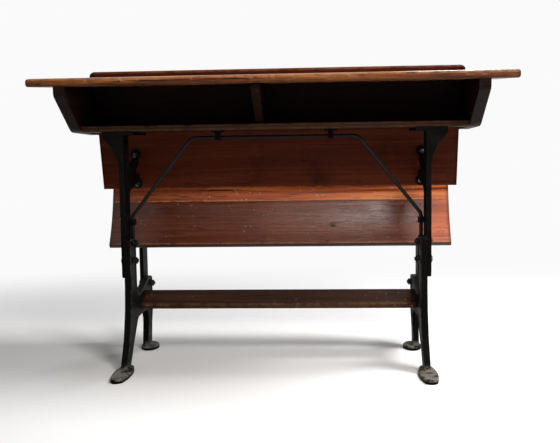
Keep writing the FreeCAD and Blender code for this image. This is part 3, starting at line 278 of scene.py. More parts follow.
@dataclass(frozen=True)
class WoodFinish:
    """Varnished softwood: contour figure, fine fibres, pores, cracks, stains, scratches, worn edges and
    painted light and shade.

    Places are Object coordinates, and a pair of places is where a change starts and where it is whole.
    """

    name: str
    dark: Colour
    mid: Colour
    light: Colour
    worn: Colour = (0.42, 0.27, 0.16)
    scored: Colour = (0.62, 0.5, 0.4)
    spread: float = 0.2
    fibre: Fibre = Fibre.LENGTHWISE
    lay: Lay = Lay.UPRIGHT
    shift: float = 0.0
    shift_shares: tuple = (1.0, 0.7, 0.4)
    gloss: float = 0.5
    gleam: float = 0.05
    coat: float = 0.0
    relief: float = 0.00045
    scuff: Scuff = Scuff.NONE
    scratch_lines: tuple[Spot, ...] = ((31.0, 0.745), (-57.0, 0.735), (72.0, 0.74))
    scratch_from: Spot = (-0.186, -0.176)
    stain: float = 0.5
    cracks: float = 0.5
    edges: tuple[Spot, ...] = ()
    edge_reach: float = 0.006
    end: float = 0.0
    end_reach: Spot = (0.011, 0.003)
    painted_falloff: float = 0.0
    painted_falloff_span: Spot = (-0.55, 0.30)
    painted_end_light: float = 0.0
    painted_end_light_span: Spot = (0.405, 0.445)
    painted_low_shade: Spot | None = None
    near_face: Spot = (-0.188, -0.180)
    under: Spot | None = None
    under_way: Spot = (0.59, -0.81)
    under_span: Spot = (-0.0015, 0.001)
    under_shade: Colour = (0.007, 0.003, 0.002)
    painted_box_shade: bool = False
    box_floor: Spot = (0.628, 0.646)
    box_roof: Spot = (0.770, 0.784)
    box_depth: Spot = (0.003, 0.008)
    box_shade: Colour = (0.0008, 0.0004, 0.0003)
    knots: tuple[Spot, ...] = ()
    knot_size: Spot = (0.012, 0.0055)

    def darker(self, share: float) -> Colour:
        """A share of the board's dark colour."""
        red, green, blue = self.dark
        return red * share, green * share, blue * share

    def figure(self, web: Web, figure: Figure) -> Sig:
        """Noise stretched along the fibres of this board.

        Args:
            web: The material's nodes.
            figure: Which noise.

        Returns:
            Its value, about one half on average.
        """
        lengthwise, across, detail, rough = figure.value
        scale = tuple(across + (lengthwise - across) * share for share in self.fibre.value)
        shift = tuple(self.shift * share for share in self.shift_shares)
        return web.noise(1.0, detail, rough, web.stretch(scale, shift=shift))

    def worn_edges(self, web: Web) -> Value:
        """Wear near the edges that run across the desk.

        Args:
            web: The material's nodes.

        Returns:
            Its share: one at an edge line, none past the reach.
        """
        if not self.edges:
            return 0.0
        _, y, z = web.split()
        wear: Value = 0.0
        for edge_y, edge_z in self.edges:
            off_y, off_z = y - edge_y, z - edge_z
            gap = (off_y * off_y + off_z * off_z).root()
            wear = web.span(gap, self.edge_reach * 0.25, self.edge_reach, 1.0, 0.0).most(wear)
        return wear * web.span(web.noise(38.0, 5.0, 0.7), 0.34, 0.62)

    def scratches(self, web: Web) -> Value:
        """Thin pale lines in three directions and small chips, broken up by patches of use.

        Args:
            web: The material's nodes.

        Returns:
            Their share.
        """
        if self.scuff is Scuff.NONE:
            return 0.0
        lines: Value = 0.0
        scales, axis = self.lay.value
        for turn, low in self.scratch_lines:
            turned = web.stretch(scales, tuple(turn * share for share in axis))
            lines = web.span(web.noise(1.0, 1.0, 0.4, turned), low, low + 0.03).most(lines)
        cell = {"Vector": web.place, "Scale": 75.0}
        spot = web.node("ShaderNodeTexVoronoi", inputs=cell, out="Distance")
        lot = web.node("ShaderNodeTexVoronoi", inputs=cell, out="Color")
        pick = web.node("ShaderNodeSeparateColor", inputs={0: lot})
        chips = web.span(spot, 0.06, 0.17, 1.0, 0.0) * web.span(pick, 0.46, 0.48)
        chips = chips * web.span(web.noise(7.0, 2.0), 0.42, 0.5)
        used = web.span(web.noise(4.2, 3.0), 0.47, 0.62)
        _, y, _ = web.split()
        return (lines * used).most(chips) * web.span(y, *self.scratch_from) * self.scuff.value

    def cracked(self, web: Web) -> Sig:
        """Dark cracks: fine ones and short gashes, each in areas of their own.

        Args:
            web: The material's nodes.

        Returns:
            Their share.
        """
        fine = web.span(self.figure(web, Figure.CRACKS), 0.63, 0.67)
        fine = fine * web.span(web.noise(5.0, 3.0), 0.42, 0.56)
        gash = web.span(self.figure(web, Figure.GASHES), 0.61, 0.67)
        gash = gash * web.span(web.noise(8.0, 2.0), 0.46, 0.56)
        return fine.most(gash * 0.85) * self.cracks

    def knotted(self, web: Web) -> Value:
        """Knots: an oval about each (X, Z), ragged at its rim, with cracks that run past it.

        Args:
            web: The material's nodes.

        Returns:
            Their share.
        """
        if not self.knots:
            return 0.0
        x, _, z = web.split()
        ragged = self.figure(web, Figure.KNOT_RIM)
        dark: Value = 0.0
        for knot_x, knot_z in self.knots:
            wide, tall = (x - knot_x) * (1.0 / self.knot_size[0]), (z - knot_z) * (1.0 / self.knot_size[1])
            far = (wide * wide + tall * tall).root()
            heart = web.span(far + ragged * 1.6, 0.9, 1.9, 1.0, 0.0)
            torn = web.span(far, 0.5, 4.5, 1.0, 0.0) * web.span(ragged, 0.56, 0.64)
            dark = heart.most(torn).most(dark)
        return dark

    def painted_light_and_stains(self, web: Web, colour: Sig) -> Sig:
        """Paint light and shade into the wood, then stain it: painted falloff darker to the left, painted
        light at its right end, painted shade low down.

        Args:
            web: The material's nodes.
            colour: Colour of the wood.

        Returns:
            The colour with painted light, painted shade and stains.
        """
        x, y, z = web.split()
        # Painted light: the board darkens towards the left, standing in for the falloff of the lamp's light.
        if self.painted_falloff:
            cloud = self.figure(web, Figure.CLOUDS) - 0.5
            level = web.span(x + cloud * 0.5, *self.painted_falloff_span, 1.0 - self.painted_falloff, 1.0)
            colour = web.blend(1.0 - level, colour, self.darker(0.6))
        # Painted light: the right end past the standard is lightened, standing in for the side light that
        # reaches it.
        if self.painted_end_light:
            gain = 1.0 + self.painted_end_light
            pale = web.blend(1.0, colour, (gain, gain * 1.04, gain * 1.08), "MULTIPLY")
            colour = web.blend(web.span(x, *self.painted_end_light_span), colour, pale)
        # Painted shade: the lower part of the near face is darkened.
        if self.painted_low_shade:
            low = web.span(z, *self.painted_low_shade, 1.0, 0.0) * web.span(y, *self.near_face, 1.0, 0.0)
            colour = web.blend(low * 0.62, colour, self.darker(0.5))
        blots = web.span(web.noise(6.5, 6.0, 0.62), 0.52, 0.74)
        return web.blend(blots * self.stain, colour, self.darker(0.3))

    def ends_and_painted_shade(self, web: Web, colour: Sig) -> Sig:
        """Darken the sawn ends, and paint shade under the lower edge and on the near face of the back inside
        the box.

        Args:
            web: The material's nodes.
            colour: Colour of the used board.

        Returns:
            The finished colour.
        """
        x, y, z = web.split()
        if self.end:
            ends = web.span(x.size(), *(self.end - reach for reach in self.end_reach))
            colour = web.blend(ends * 0.6, colour, self.darker(0.7))
        # Painted shade: the underside of the lower edge is darkened nearly to black.
        if self.under:
            below = (y - self.under[0]) * self.under_way[0] + (z - self.under[1]) * self.under_way[1]
            colour = web.blend(web.span(below, *self.under_span) * 0.9, colour, self.under_shade)
        # Painted shade: the back's near face inside the box goes nearly black, where the top shades it.
        if self.painted_box_shade:
            behind = (y - BACK_FOOT[0]) * math.cos(BACK_LEAN) + (z - BACK_FOOT[1]) * math.sin(BACK_LEAN)
            boxed = web.span(z, *self.box_floor) * web.span(z, *self.box_roof, 1.0, 0.0)
            boxed = boxed * web.span(behind, *self.box_depth, 1.0, 0.0)
            colour = web.blend(boxed * 0.88, colour, self.box_shade)
        return colour

    def material(self) -> Material:
        """Build the finish.

        Returns:
            The material of the boards that carry it.
        """
        web = Web(bpy.data.materials.new(self.name))
        rings = (self.figure(web, Figure.RINGS) * 11.0).fold(0.5) * 2.0
        kinds = (Figure.STREAKS, Figure.GRAIN, Figure.FIBRES)
        streaks, grain, fibres = (self.figure(web, kind) for kind in kinds)
        pores = web.span(self.figure(web, Figure.PORES), 0.6, 0.72)
        tone = rings * 0.15 + streaks * 0.45 + grain * 0.28 + fibres * 0.12
        stops = zip((0.49 - self.spread, 0.49, 0.49 + self.spread), (self.dark, self.mid, self.light))
        colour = web.node("ShaderNodeValToRGB", {"stops": tuple(stops)}, {0: tone})
        colour = web.blend(pores * 0.55, colour, self.dark)
        colour = web.blend(self.cracked(web), colour, self.darker(0.12))
        knot, wear, scratch = self.knotted(web), self.worn_edges(web), self.scratches(web)
        if self.knots:
            colour = web.blend(knot * 0.9, colour, self.darker(0.12))
        colour = self.painted_light_and_stains(web, colour)
        if self.edges:
            bare = web.blend(fibres, tuple(part * 0.62 for part in self.worn), self.worn)
            colour = web.blend(wear * 0.85, colour, bare)
        if self.scuff is not Scuff.NONE:
            colour = web.blend(scratch * 0.8, colour, self.scored)
        colour = self.ends_and_painted_shade(web, colour)
        smear = web.noise(9.0, 4.0, 0.6)
        rough = self.gloss - 0.3 + smear * 0.2 + grain * 0.4 + wear * 0.22 + scratch * 0.25 + knot * 0.4
        height = rings * 0.12 + fibres * 0.3 + grain * 0.35 - pores * 0.5 - scratch * 0.6 + smear * 0.3
        coat = (1.0 - wear) * self.coat if self.coat else 0.0
        return web.shade(colour, rough, height, self.relief, self.gleam, coat=coat)


@dataclass(frozen=True)
class IronFinish:
    """Black japanned cast iron: sandy skin, dusty patches, rubbed edges, and feet worn to grey and rust."""

    name: str
    black: Colour = (0.0026, 0.0024, 0.0022)
    dust: Colour = (0.0075, 0.0070, 0.0064)
    bare: Colour = (0.2, 0.185, 0.155)
    rust: Colour = (0.07, 0.038, 0.022)
    gleam: float = 0.022
    relief: float = 0.0006
    rubbed: float = 0.0
    foot_wear: float = 0.85
    foot_rim: Spot = (0.004, 0.009)
    foot_top: Spot = (0.010, 0.026)

    def material(self) -> Material:
        """Build the finish.

        Returns:
            The material of the castings that carry it.
        """
        web = Web(bpy.data.materials.new(self.name))
        _, _, z = web.split()
        sand = web.noise(620.0, 3.0, 0.6)
        lumps = web.noise(70.0, 4.0, 0.6)
        cloud = web.noise(14.0, 5.0, 0.65)
        patches = lumps * 0.6 + cloud * 0.4
        colour = web.blend(web.span(cloud, 0.42, 0.72) * 0.55, self.black, self.dust)
        colour = web.blend(web.span(lumps, 0.66, 0.72) * 0.2, colour, self.rust)
        foot = web.span(z, *self.foot_top, 1.0, 0.0) * web.span(z, *self.foot_rim)
        worn = foot * web.span(patches, 0.42, 0.56) * self.foot_wear
        if self.rubbed:
            worn = worn.most(web.span(patches, 0.38, 0.62) * self.rubbed)
        scoured = web.blend(web.span(cloud, 0.5, 0.7) * 0.6, self.bare, self.rust)
        colour = web.blend(worn, colour, scoured)
        rough = 0.42 + lumps * 0.2 + worn * 0.16 - web.span(cloud, 0.3, 0.5, 0.12, 0.0)
        height = sand * 0.3 + lumps * 0.7
        return web.shade(colour, rough, height, self.relief, self.gleam, metal=worn * 0.5)


@dataclass(frozen=True)
class SteelFinish:
    """Dull steel of rods and fixings: black paint worn through to the metal, and a little rust."""

    name: str
    paint: float
    bright: Colour = (0.26, 0.25, 0.23)
    dull: Colour = (0.006, 0.0056, 0.0053)
    rust: Colour = (0.05, 0.024, 0.014)
    gleam: float = 0.12
    relief: float = 0.00025

    def material(self) -> Material:
        """Build the finish.

        Returns:
            The material of the steel pieces that carry it.
        """
        web = Web(bpy.data.materials.new(self.name))
        grit = web.noise(900.0, 2.0, 0.5)
        cloud = web.noise(85.0, 5.0, 0.65)
        paint = web.span(cloud, 0.62 - self.paint * 0.5, 0.74 - self.paint * 0.5)
        rust = web.span(web.noise(120.0, 4.0, 0.7), 0.6, 0.7)
        colour = web.blend(rust * 0.6, web.blend(paint, self.bright, self.dull), self.rust)
        rough = 0.34 + cloud * 0.16 + rust * 0.3
        metal = (1.0 - paint) * (1.0 - rust * 0.8)
        height = grit * 0.5 + cloud * 0.5
        return web.shade(colour, rough, height, self.relief, self.gleam, metal=metal)


class Metals:
    """Finishes of the castings, their rubbed edges, the brace rod, and bright and black fixings."""

    def __init__(self) -> None:
        """Make the five materials."""
        self.iron = IronFinish("black_iron").material()
        self.edge = IronFinish("rubbed_iron", rubbed=0.34, bare=(0.13, 0.125, 0.115)).material()
        self.rod = SteelFinish("rod_paint", paint=1.0, bright=(0.05, 0.048, 0.045)).material()
        self.bright = SteelFinish("fixing_steel", paint=0.5).material()
        self.black = SteelFinish("blacked_steel", paint=0.62).material()


# Surfaces

def ripple(at: np.ndarray, seed: int, longest: float, count: int = 7) -> np.ndarray:
    """A smooth uneven line: a sum of sines whose waves shorten and weaken, about minus one to one.

    Args:
        at: Places along the line.
        seed: Start of the phases.
        longest: The longest wave.
        count: Number of waves.

    Returns:
        One value for each place.
    """
    phases = np.random.default_rng(seed).uniform(0.0, 2.0 * np.pi, count)
    lengths, weights = longest * 0.61 ** np.arange(count), 0.72 ** np.arange(count)
    waves = np.sin(2.0 * np.pi * at[..., None] / lengths + phases) * weights
    return waves.sum(axis=-1) / weights.sum()


@dataclass(frozen=True)
class Dents:
    """Dents along a line: bell curves at scattered places, each with its own width and depth."""

    seed: int
    count: int
    width: Spot
    depth: Spot

    def along(self, at: np.ndarray, reach: float) -> np.ndarray:
        """Depth of the dents at places along the line: the sum of the bells.

        Args:
            at: Places along the line.
            reach: Half the length that the dents are scattered over.

        Returns:
            The depth at each place.
        """
        scatter = np.random.default_rng(self.seed)
        middles = scatter.uniform(-reach, reach, self.count)
        widths = scatter.uniform(*self.width, self.count)
        depths = scatter.uniform(*self.depth, self.count)
        return (depths * np.exp(-((at[..., None] - middles) / widths) ** 2)).sum(axis=-1)


def mesh_of(name: str, points: np.ndarray, faces: list, smooth_angle: float = 0.7) -> Piece:
    """Put points and faces into a mesh object at the origin, with points at one place made one.

    Args:
        name: The piece's name.
        points: Points as rows of X, Y and Z.
        faces: Rows of corner numbers.
        smooth_angle: Edges sharper than this stay sharp.

    Returns:
        The new object.
    """
    mesh = bpy.data.meshes.new(name)
    mesh.from_pydata(points.reshape(-1, 3), [], faces)
    shell = bmesh.new()
    shell.from_mesh(mesh)
    bmesh.ops.remove_doubles(shell, verts=shell.verts, dist=1e-7)
    shell.to_mesh(mesh)
    shell.free()
    mesh.validate()
    mesh.shade_smooth()
    mesh.set_sharp_from_angle(angle=smooth_angle)
    piece = bpy.data.objects.new(name, mesh)
    bpy.context.scene.collection.objects.link(piece)
    return piece


def grid_faces(rows: int, columns: int, wrap: bool = False) -> np.ndarray:
    """Corner numbers of the four-sided faces of a grid of points.

    Args:
        rows: Points along the first parameter.
        columns: Points along the second parameter.
        wrap: True if the last column joins the first.

    Returns:
        One row of four corner numbers for each face.
    """
    across = columns if wrap else columns - 1
    row, column = np.meshgrid(np.arange(rows - 1), np.arange(across), indexing="ij")
    after = (column + 1) % columns
    corners = (row * columns + column, row * columns + after,
               (row + 1) * columns + after, (row + 1) * columns + column)
    return np.stack(corners, axis=-1).reshape(-1, 4)


def rounded_path(corners: tuple, radii: tuple, steps: int = 9) -> np.ndarray:
    """An open line through corners with rounded bends.

    A bend of radius r at a corner c runs from a, r / tan(half angle) before it, to b, as far after it. Its
    points lie on the square curve (1 - t)^2 a + 2 t (1 - t) c + t^2 b.

    Args:
        corners: Corner points as pairs.
        radii: A radius for each corner, zero for a sharp one and for both ends.
        steps: Points in each bend.

    Returns:
        The points of the line as rows of two.
    """
    spots, radius = np.asarray(corners, float), np.asarray(radii, float)[:, None]
    ways = [np.roll(spots, step, axis=0) - spots for step in (1, -1)]
    lengths = [np.linalg.norm(way, axis=1, keepdims=True) for way in ways]
    before, after = (way / length for way, length in zip(ways, lengths))
    cosine = np.clip((before * after).sum(axis=1, keepdims=True), -0.999, 0.999)
    run = np.minimum(radius / np.tan(np.arccos(cosine) / 2.0), np.minimum(*lengths) * 0.48)
    t = np.linspace(0.0, 1.0, steps)[None, :, None]
    first, last = (spots + before * run)[:, None], (spots + after * run)[:, None]
    bends = (1 - t) ** 2 * first + 2 * t * (1 - t) * spots[:, None] + t ** 2 * last
    line = bends.reshape(-1, 2)
    steps_apart = np.linalg.norm(np.diff(line, axis=0), axis=1)
    return line[np.concatenate([[True], steps_apart > 1e-6])]


def sideways(line: np.ndarray) -> np.ndarray:
    """Directions to the left of a line's way.

    Args:
        line: Points as rows of two.

    Returns:
        A row of length one for each point.
    """
    way = np.gradient(line, axis=0)
    way /= np.linalg.norm(way, axis=1, keepdims=True)
    return np.stack([-way[:, 1], way[:, 0]], axis=1)


@dataclass(frozen=True)
class Bead:
    """A raised half-round bead on an upright face of constant X."""

    half_width: float
    height: float
    ease: float = 0.006
    sink: float = 0.0004

    def build(self, name: str, lines: list, face: float, out: float) -> Piece:
        """Carry the bead along lines.

        Its profile at angle a is (half_width cos a) sideways of the line and (height sin a) out of the face.
        Both sizes shrink to nothing over the last few millimetres at a line's ends.

        Args:
            name: The piece's name.
            lines: Lines of the beads as rows of Y and Z.
            face: X of the face.
            out: Plus or minus one, the way out of the face.

        Returns:
            The beads as one object.
        """
        points, faces, start = [], [], 0
        angles = np.linspace(0.0, np.pi, 9)
        for line in lines:
            run = np.concatenate([[0.0], np.cumsum(np.linalg.norm(np.diff(line, axis=0), axis=1))])
            ease = np.clip(np.minimum(run, run[-1] - run) / self.ease, 0.0, 1.0)
            ease = np.sqrt(1.0 - (1.0 - ease) ** 2) + 1e-3
            spread = self.half_width * ease[:, None] * np.cos(angles)
            flat = line[:, None, :] + sideways(line)[:, None, :] * spread[..., None]
            lift = face + out * (self.height * ease[:, None] * np.sin(angles) - self.sink)
            points.append(np.concatenate([lift[..., None], flat], axis=-1).reshape(-1, 3))
            cells = start + grid_faces(len(line), len(angles))
            faces.append(cells if out > 0 else cells[:, ::-1])
            start += lift.size
        return mesh_of(name, np.concatenate(points), np.concatenate(faces).tolist())


@dataclass(frozen=True)
class Dome:
    """A low dome on a round head, plain or with a driver's slot."""

    radius: float
    height: float
    slot: float = 0.0
    rings: int = 13
    spokes: int = 36
    sink: float = 0.0003

    def build(self, name: str, centres: np.ndarray, axis: np.ndarray) -> Piece:
        """Set the dome on every head.

        At r from the middle, between 0 and 1, the dome stands height * (1 - r^2.4) above its seat. In a slot,
        less than half its width from the slot's line, it is lower by most of the height.

        Args:
            name: The piece's name.
            centres: Middles of the seats as rows of X, Y and Z.
            axis: Outward direction for each dome.

        Returns:
            The domes as one object.
        """
        turns = np.arange(self.spokes) * 2 * np.pi / self.spokes
        r, a = np.meshgrid(np.linspace(0.0, 1.0, self.rings), turns, indexing="ij")
        u, v = self.radius * r * np.cos(a), self.radius * r * np.sin(a)
        lift = self.height * (1.0 - r ** 2.4)
        if self.slot:
            cut = np.clip(1.6 - np.abs(u) / self.slot * 3.2, 0.0, 1.0)
            lift = lift - cut * np.minimum(lift, self.height * 0.75)
        axis = axis / np.linalg.norm(axis, axis=1, keepdims=True)
        helper = np.where(np.abs(axis[:, 2:]) > 0.9, (1.0, 0.0, 0.0), (0.0, 0.0, 1.0))
        first = np.cross(helper, axis)
        first /= np.linalg.norm(first, axis=1, keepdims=True)
        frames = np.stack([first, np.cross(axis, first), axis], axis=1)
        points = centres[:, None, None] + np.stack([u, v, lift - self.sink], axis=-1) @ frames[:, None]
        cells = grid_faces(self.rings, self.spokes, wrap=True)
        faces = (np.arange(len(centres))[:, None, None] * r.size + cells[None]).reshape(-1, 4)
        return mesh_of(name, points, faces.tolist(), 0.9)


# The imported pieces

class Ease(Enum):
    """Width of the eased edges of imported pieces."""

    NONE = 0.0
    SCREW = 0.0004
    BOLT = 0.0005
    SMALL_CASTING = 0.001
    BOARD = 0.0012
    BRACKET = 0.0014
    CASTING = 0.0016
    BACK = 0.0018
    DIVIDER = 0.002
    SIDE = 0.0022


def dress(names: tuple, material: Material, ease: Ease = Ease.NONE, edge: Material | None = None) -> None:
    """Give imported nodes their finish, and ease their sharp edges with live modifiers.

    Args:
        names: The nodes.
        material: Their finish.
        ease: How wide their edges are eased.
        edge: Finish of the eased edges, where it differs.
    """
    for name in names:
        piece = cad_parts[name]
        piece.data.materials.clear()
        piece.data.materials.append(material)
        LOG.info("packed piece %s wears %s", name, material.name)
        if ease is Ease.NONE:
            continue
        weld = piece.modifiers.new("Weld", "WELD")
        weld.merge_threshold = 0.00002
        flat = piece.modifiers.new("Flat", "DECIMATE")
        flat.decimate_type = "DISSOLVE"
        flat.angle_limit = math.radians(1.0)
        bevel = piece.modifiers.new("Ease", "BEVEL")
        bevel.width = ease.value
        bevel.segments = 2
        bevel.limit_method = "ANGLE"
        bevel.angle_limit = math.radians(38.0)
        bevel.harden_normals = False
        if edge is not None:
            piece.data.materials.append(edge)
            bevel.material = len(piece.data.materials) - 1


def take(piece: Piece, body: str, material: Material) -> None:
    """Give a new piece its finish and the body that it moves with.

    Args:
        piece: The piece.
        body: The body that carries it.
        material: Its finish.
    """
    piece.data.materials.append(material)
    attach(piece, body)
    LOG.info("new piece %s rides on %s", piece.name, body)


def head_spots(node: str, reach: float = 0.022) -> tuple[np.ndarray, np.ndarray]:
    """Outer middles of the fixings of a node that lie along X, and their directions outwards.

    Points of one fixing are those on the same side of the desk whose Y and Z lie within a reach of its first.

    Args:
        node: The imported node.
        reach: More than a fixing's width, and less than the room between two.

    Returns:
        For each fixing a row of X, Y and Z at its outermost end, and a row of its outward direction.
    """
    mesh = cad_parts[node].data
    points = np.empty(len(mesh.vertices) * 3)
    mesh.vertices.foreach_get("co", points)
    points = points.reshape(-1, 3)
    key = np.column_stack([np.sign(points[:, 0]), points[:, 1:]])
    labels = np.argmax(np.linalg.norm(key[:, None] - key[None], axis=2) < reach, axis=1)
    groups = [points[labels == label] for label in np.unique(labels)]
    tips = [group[np.abs(group[:, 0]).argmax(), 0] for group in groups]
    middles = [(group[:, 1:].min(axis=0) + group[:, 1:].max(axis=0)) / 2 for group in groups]
    return np.column_stack([tips, middles]), np.outer(np.sign(tips), (1.0, 0.0, 0.0))


# Sub-assemblies

@dataclass
class Assembly:
    """A sub-assembly, with the finishes of its metal pieces."""

    metals: Metals


@dataclass
class WritingTop(Assembly):
    """The long fixed board, rubbed and chipped along its near edge, with two pencil grooves."""

    half_length: float = 0.611
    near: float = -0.196
    height: float = 0.7655
    thick: float = 0.021
    slope: float = math.radians(3.5)
    nose: float = 0.0092
    end_round: float = 0.006
    gap: float = 0.0003
    groove_radius: float = 0.010
    groove_margin: float = 0.002
    groove_sink: float = 0.006
    groove_from_back: float = 0.034
    groove_span: Spot = (0.075, 0.495)
    wear_reach: float = 0.016
    rub: float = 0.0007
    rub_wave: float = 0.34
    upper_from: float = 0.55
    upper_reach: float = 0.006
    high_dents: Dents = Dents(11, 46, (0.003, 0.012), (0.0003, 0.0021))
    low_dents: Dents = Dents(23, 26, (0.004, 0.016), (0.0003, 0.0016))
    # The top's finish paints shade on the lower part of its near face.
    finish: WoodFinish = WoodFinish(
        "worn_top", (0.020, 0.005, 0.0014), (0.118, 0.032, 0.0075), (0.29, 0.098, 0.026),
        worn=(0.38, 0.16, 0.058), gloss=0.28, gleam=0.1, coat=0.03, scuff=Scuff.LIGHT, stain=0.8, cracks=1.0,
        spread=0.15, lay=Lay.LEVEL, painted_low_shade=(0.7445, 0.7590), edges=((-0.194, 0.7645),), edge_reach=0.007,
        end=0.611)

    def face(self, y: np.ndarray) -> np.ndarray:
        """Height of the upper face: height + (y - near) tan(slope)."""
        return self.height + (y - self.near) * math.tan(self.slope)

    def back(self, drop: float) -> float:
        """Where the upper face, dropped, meets the leaning back less its gap.

        Args:
            drop: How far down the face is moved.

        Returns:
            Y of that line.
        """
        lean, rise = math.tan(BACK_LEAN), math.tan(self.slope)
        start = self.height - drop - self.near * rise
        reach = BACK_FOOT[0] - self.gap / math.cos(BACK_LEAN)
        return (reach - (start - BACK_FOOT[1]) * lean) / (1.0 + rise * lean)

    def section(self) -> tuple[np.ndarray, np.ndarray, np.ndarray]:
        """The board's side view from the underside round the near edge and over the top.

        Returns:
            Points as rows of Y and Z, their outward normals, and the share of edge wear at each.
        """
        fall = self.thick / math.cos(self.slope)
        turn = np.linspace(0.0, np.pi / 2, 8)
        low_z, high_z = self.height - fall + self.nose, self.height - self.nose
        mid_y, brink, foot = self.near + self.nose, self.back(0.0), self.back(fall)
        lower = np.column_stack([mid_y - self.nose * np.sin(turn), low_z - self.nose * np.cos(turn)])
        face = np.column_stack([np.full(4, self.near), np.linspace(low_z, high_z, 6)[1:-1]])
        upper = np.column_stack([mid_y - self.nose * np.cos(turn), high_z + self.nose * np.sin(turn)])
        groove, wide = brink - self.groove_from_back, self.groove_radius + self.groove_margin
        fine = wide - self.groove_margin / 2
        spread = np.concatenate([np.linspace(mid_y, groove - wide, 22)[1:],
                                 np.linspace(groove - fine, groove + fine, 23),
                                 np.linspace(groove + wide, brink, 5)])
        top = np.column_stack([spread, self.face(spread)])
        rear = np.linspace((brink, self.face(brink)), (foot, self.face(foot) - fall), 4)[1:]
        under = np.linspace(foot, mid_y, 16)[1:-1]
        bottom = np.column_stack([under, self.face(under) - fall])
        line = np.vstack([lower, face, upper, top, rear, bottom])
        way = np.roll(line, -1, axis=0) - np.roll(line, 1, axis=0)
        normal = np.column_stack([-way[:, 1], way[:, 0]])
        normal /= np.linalg.norm(normal, axis=1, keepdims=True)
        wear = np.clip(1.0 - (line[:, 0] - self.near) / self.wear_reach, 0.0, 1.0)
        return line, normal, wear

    def build(self) -> None:
        """Sweep the section along X and wear it.

        At each place along X the section moves inwards along its normals by the wear, a ripple and scattered
        dents on the near edge, and the upper face sinks by the grooves: round channels of the distance to a
        groove's line. Near the ends it draws in on a small round.
        """
        line, normal, wear = self.section()
        inner = np.linspace(-self.half_length + self.end_round, self.half_length - self.end_round, 620)
        bend = self.end_round * (1.0 - np.cos(np.linspace(0.0, np.pi / 2, 8)))
        x = np.concatenate([-self.half_length + bend[:-1], inner, (self.half_length - bend[:-1])[::-1]])
        tuck = np.clip(1.0 - (self.half_length - np.abs(x)) / self.end_round, 0.0, 1.0)
        tuck = self.end_round * (1.0 - np.sqrt(1.0 - tuck ** 2))
        upper = line[:, 1] - self.height + self.thick * self.upper_from
        upper = np.clip(upper / self.upper_reach, 0.0, 1.0)
        rub = self.rub * (1.0 + ripple(x, 3, self.rub_wave))
        high, low = (kind.along(x, self.half_length)[:, None] for kind in (self.high_dents, self.low_dents))
        inward = wear * (rub[:, None] + high * upper + low * (1.0 - upper)) + tuck[:, None]
        flat = line[None] - normal[None] * inward[..., None]
        on_top = (normal[:, 1] > 0.9) & (line[:, 1] > self.face(line[:, 0]) - 0.001)
        start, end = self.groove_span
        past = np.maximum(np.abs(np.abs(x) - (start + end) / 2) - (end - start) / 2, 0.0)
        away = np.hypot(past[:, None], line[:, 0] - self.back(0.0) + self.groove_from_back)
        channel = np.sqrt(np.maximum(self.groove_radius ** 2 - away ** 2, 0.0)) - self.groove_radius
        flat[..., 1] -= np.maximum(channel + self.groove_sink, 0.0) * on_top
        points = np.concatenate([np.broadcast_to(x[:, None, None], (*inward.shape, 1)), flat], axis=-1)
        rows, columns = inward.shape
        faces = grid_faces(rows, columns, wrap=True).tolist()
        faces.append(list(range(columns)))
        faces.append(list(range(rows * columns - 1, (rows - 1) * columns - 1, -1)))
        piece = mesh_of("writing_top", points, faces, 0.6)
        take(piece, "desk", self.finish.material())
        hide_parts("desk_top")


@dataclass
class BookBox(Assembly):
    """The open box under the top: shelf, two slanted sides and the divider."""

    screw_head: Dome = Dome(0.0049, 0.0016, slot=0.0016)
    shelf_finish: WoodFinish = WoodFinish(
        "box_shelf", (0.009, 0.003, 0.0012), (0.024, 0.0085, 0.0036), (0.044, 0.017, 0.0075),
        worn=(0.075, 0.036, 0.017), gleam=0.08, stain=0.7, shift=2.3,
        edges=((-0.056, 0.6475), (-0.056, 0.634)))
    # Near-black walls: painted shade of the inside of the box.
    wall_finish: WoodFinish = WoodFinish(
        "box_walls", (0.003, 0.0012, 0.0008), (0.007, 0.003, 0.002), (0.014, 0.006, 0.004),
        fibre=Fibre.FRONT_TO_BACK, gleam=0.06, shift=5.1)
    # Near-black divider: painted shade of the inside of the box.
    divider_finish: WoodFinish = WoodFinish(
        "box_divider", (0.003, 0.0012, 0.0006), (0.008, 0.003, 0.0015), (0.015, 0.006, 0.003),
        fibre=Fibre.FRONT_TO_BACK, shift=7.7)

    def build(self) -> None:
        """Dress the boards and put slotted heads on the screws of the sides."""
        dress(("shelf_board",), self.shelf_finish.material(), Ease.BOARD)
        dress(("box_side_left", "box_side_right"), self.wall_finish.material(), Ease.SIDE)
        dress(("box_divider",), self.divider_finish.material(), Ease.DIVIDER)
        dress(("side_screws",), self.metals.bright)
        heads = self.screw_head.build("side_screw_heads", *head_spots("side_screws"))
        take(heads, "desk", self.metals.bright)


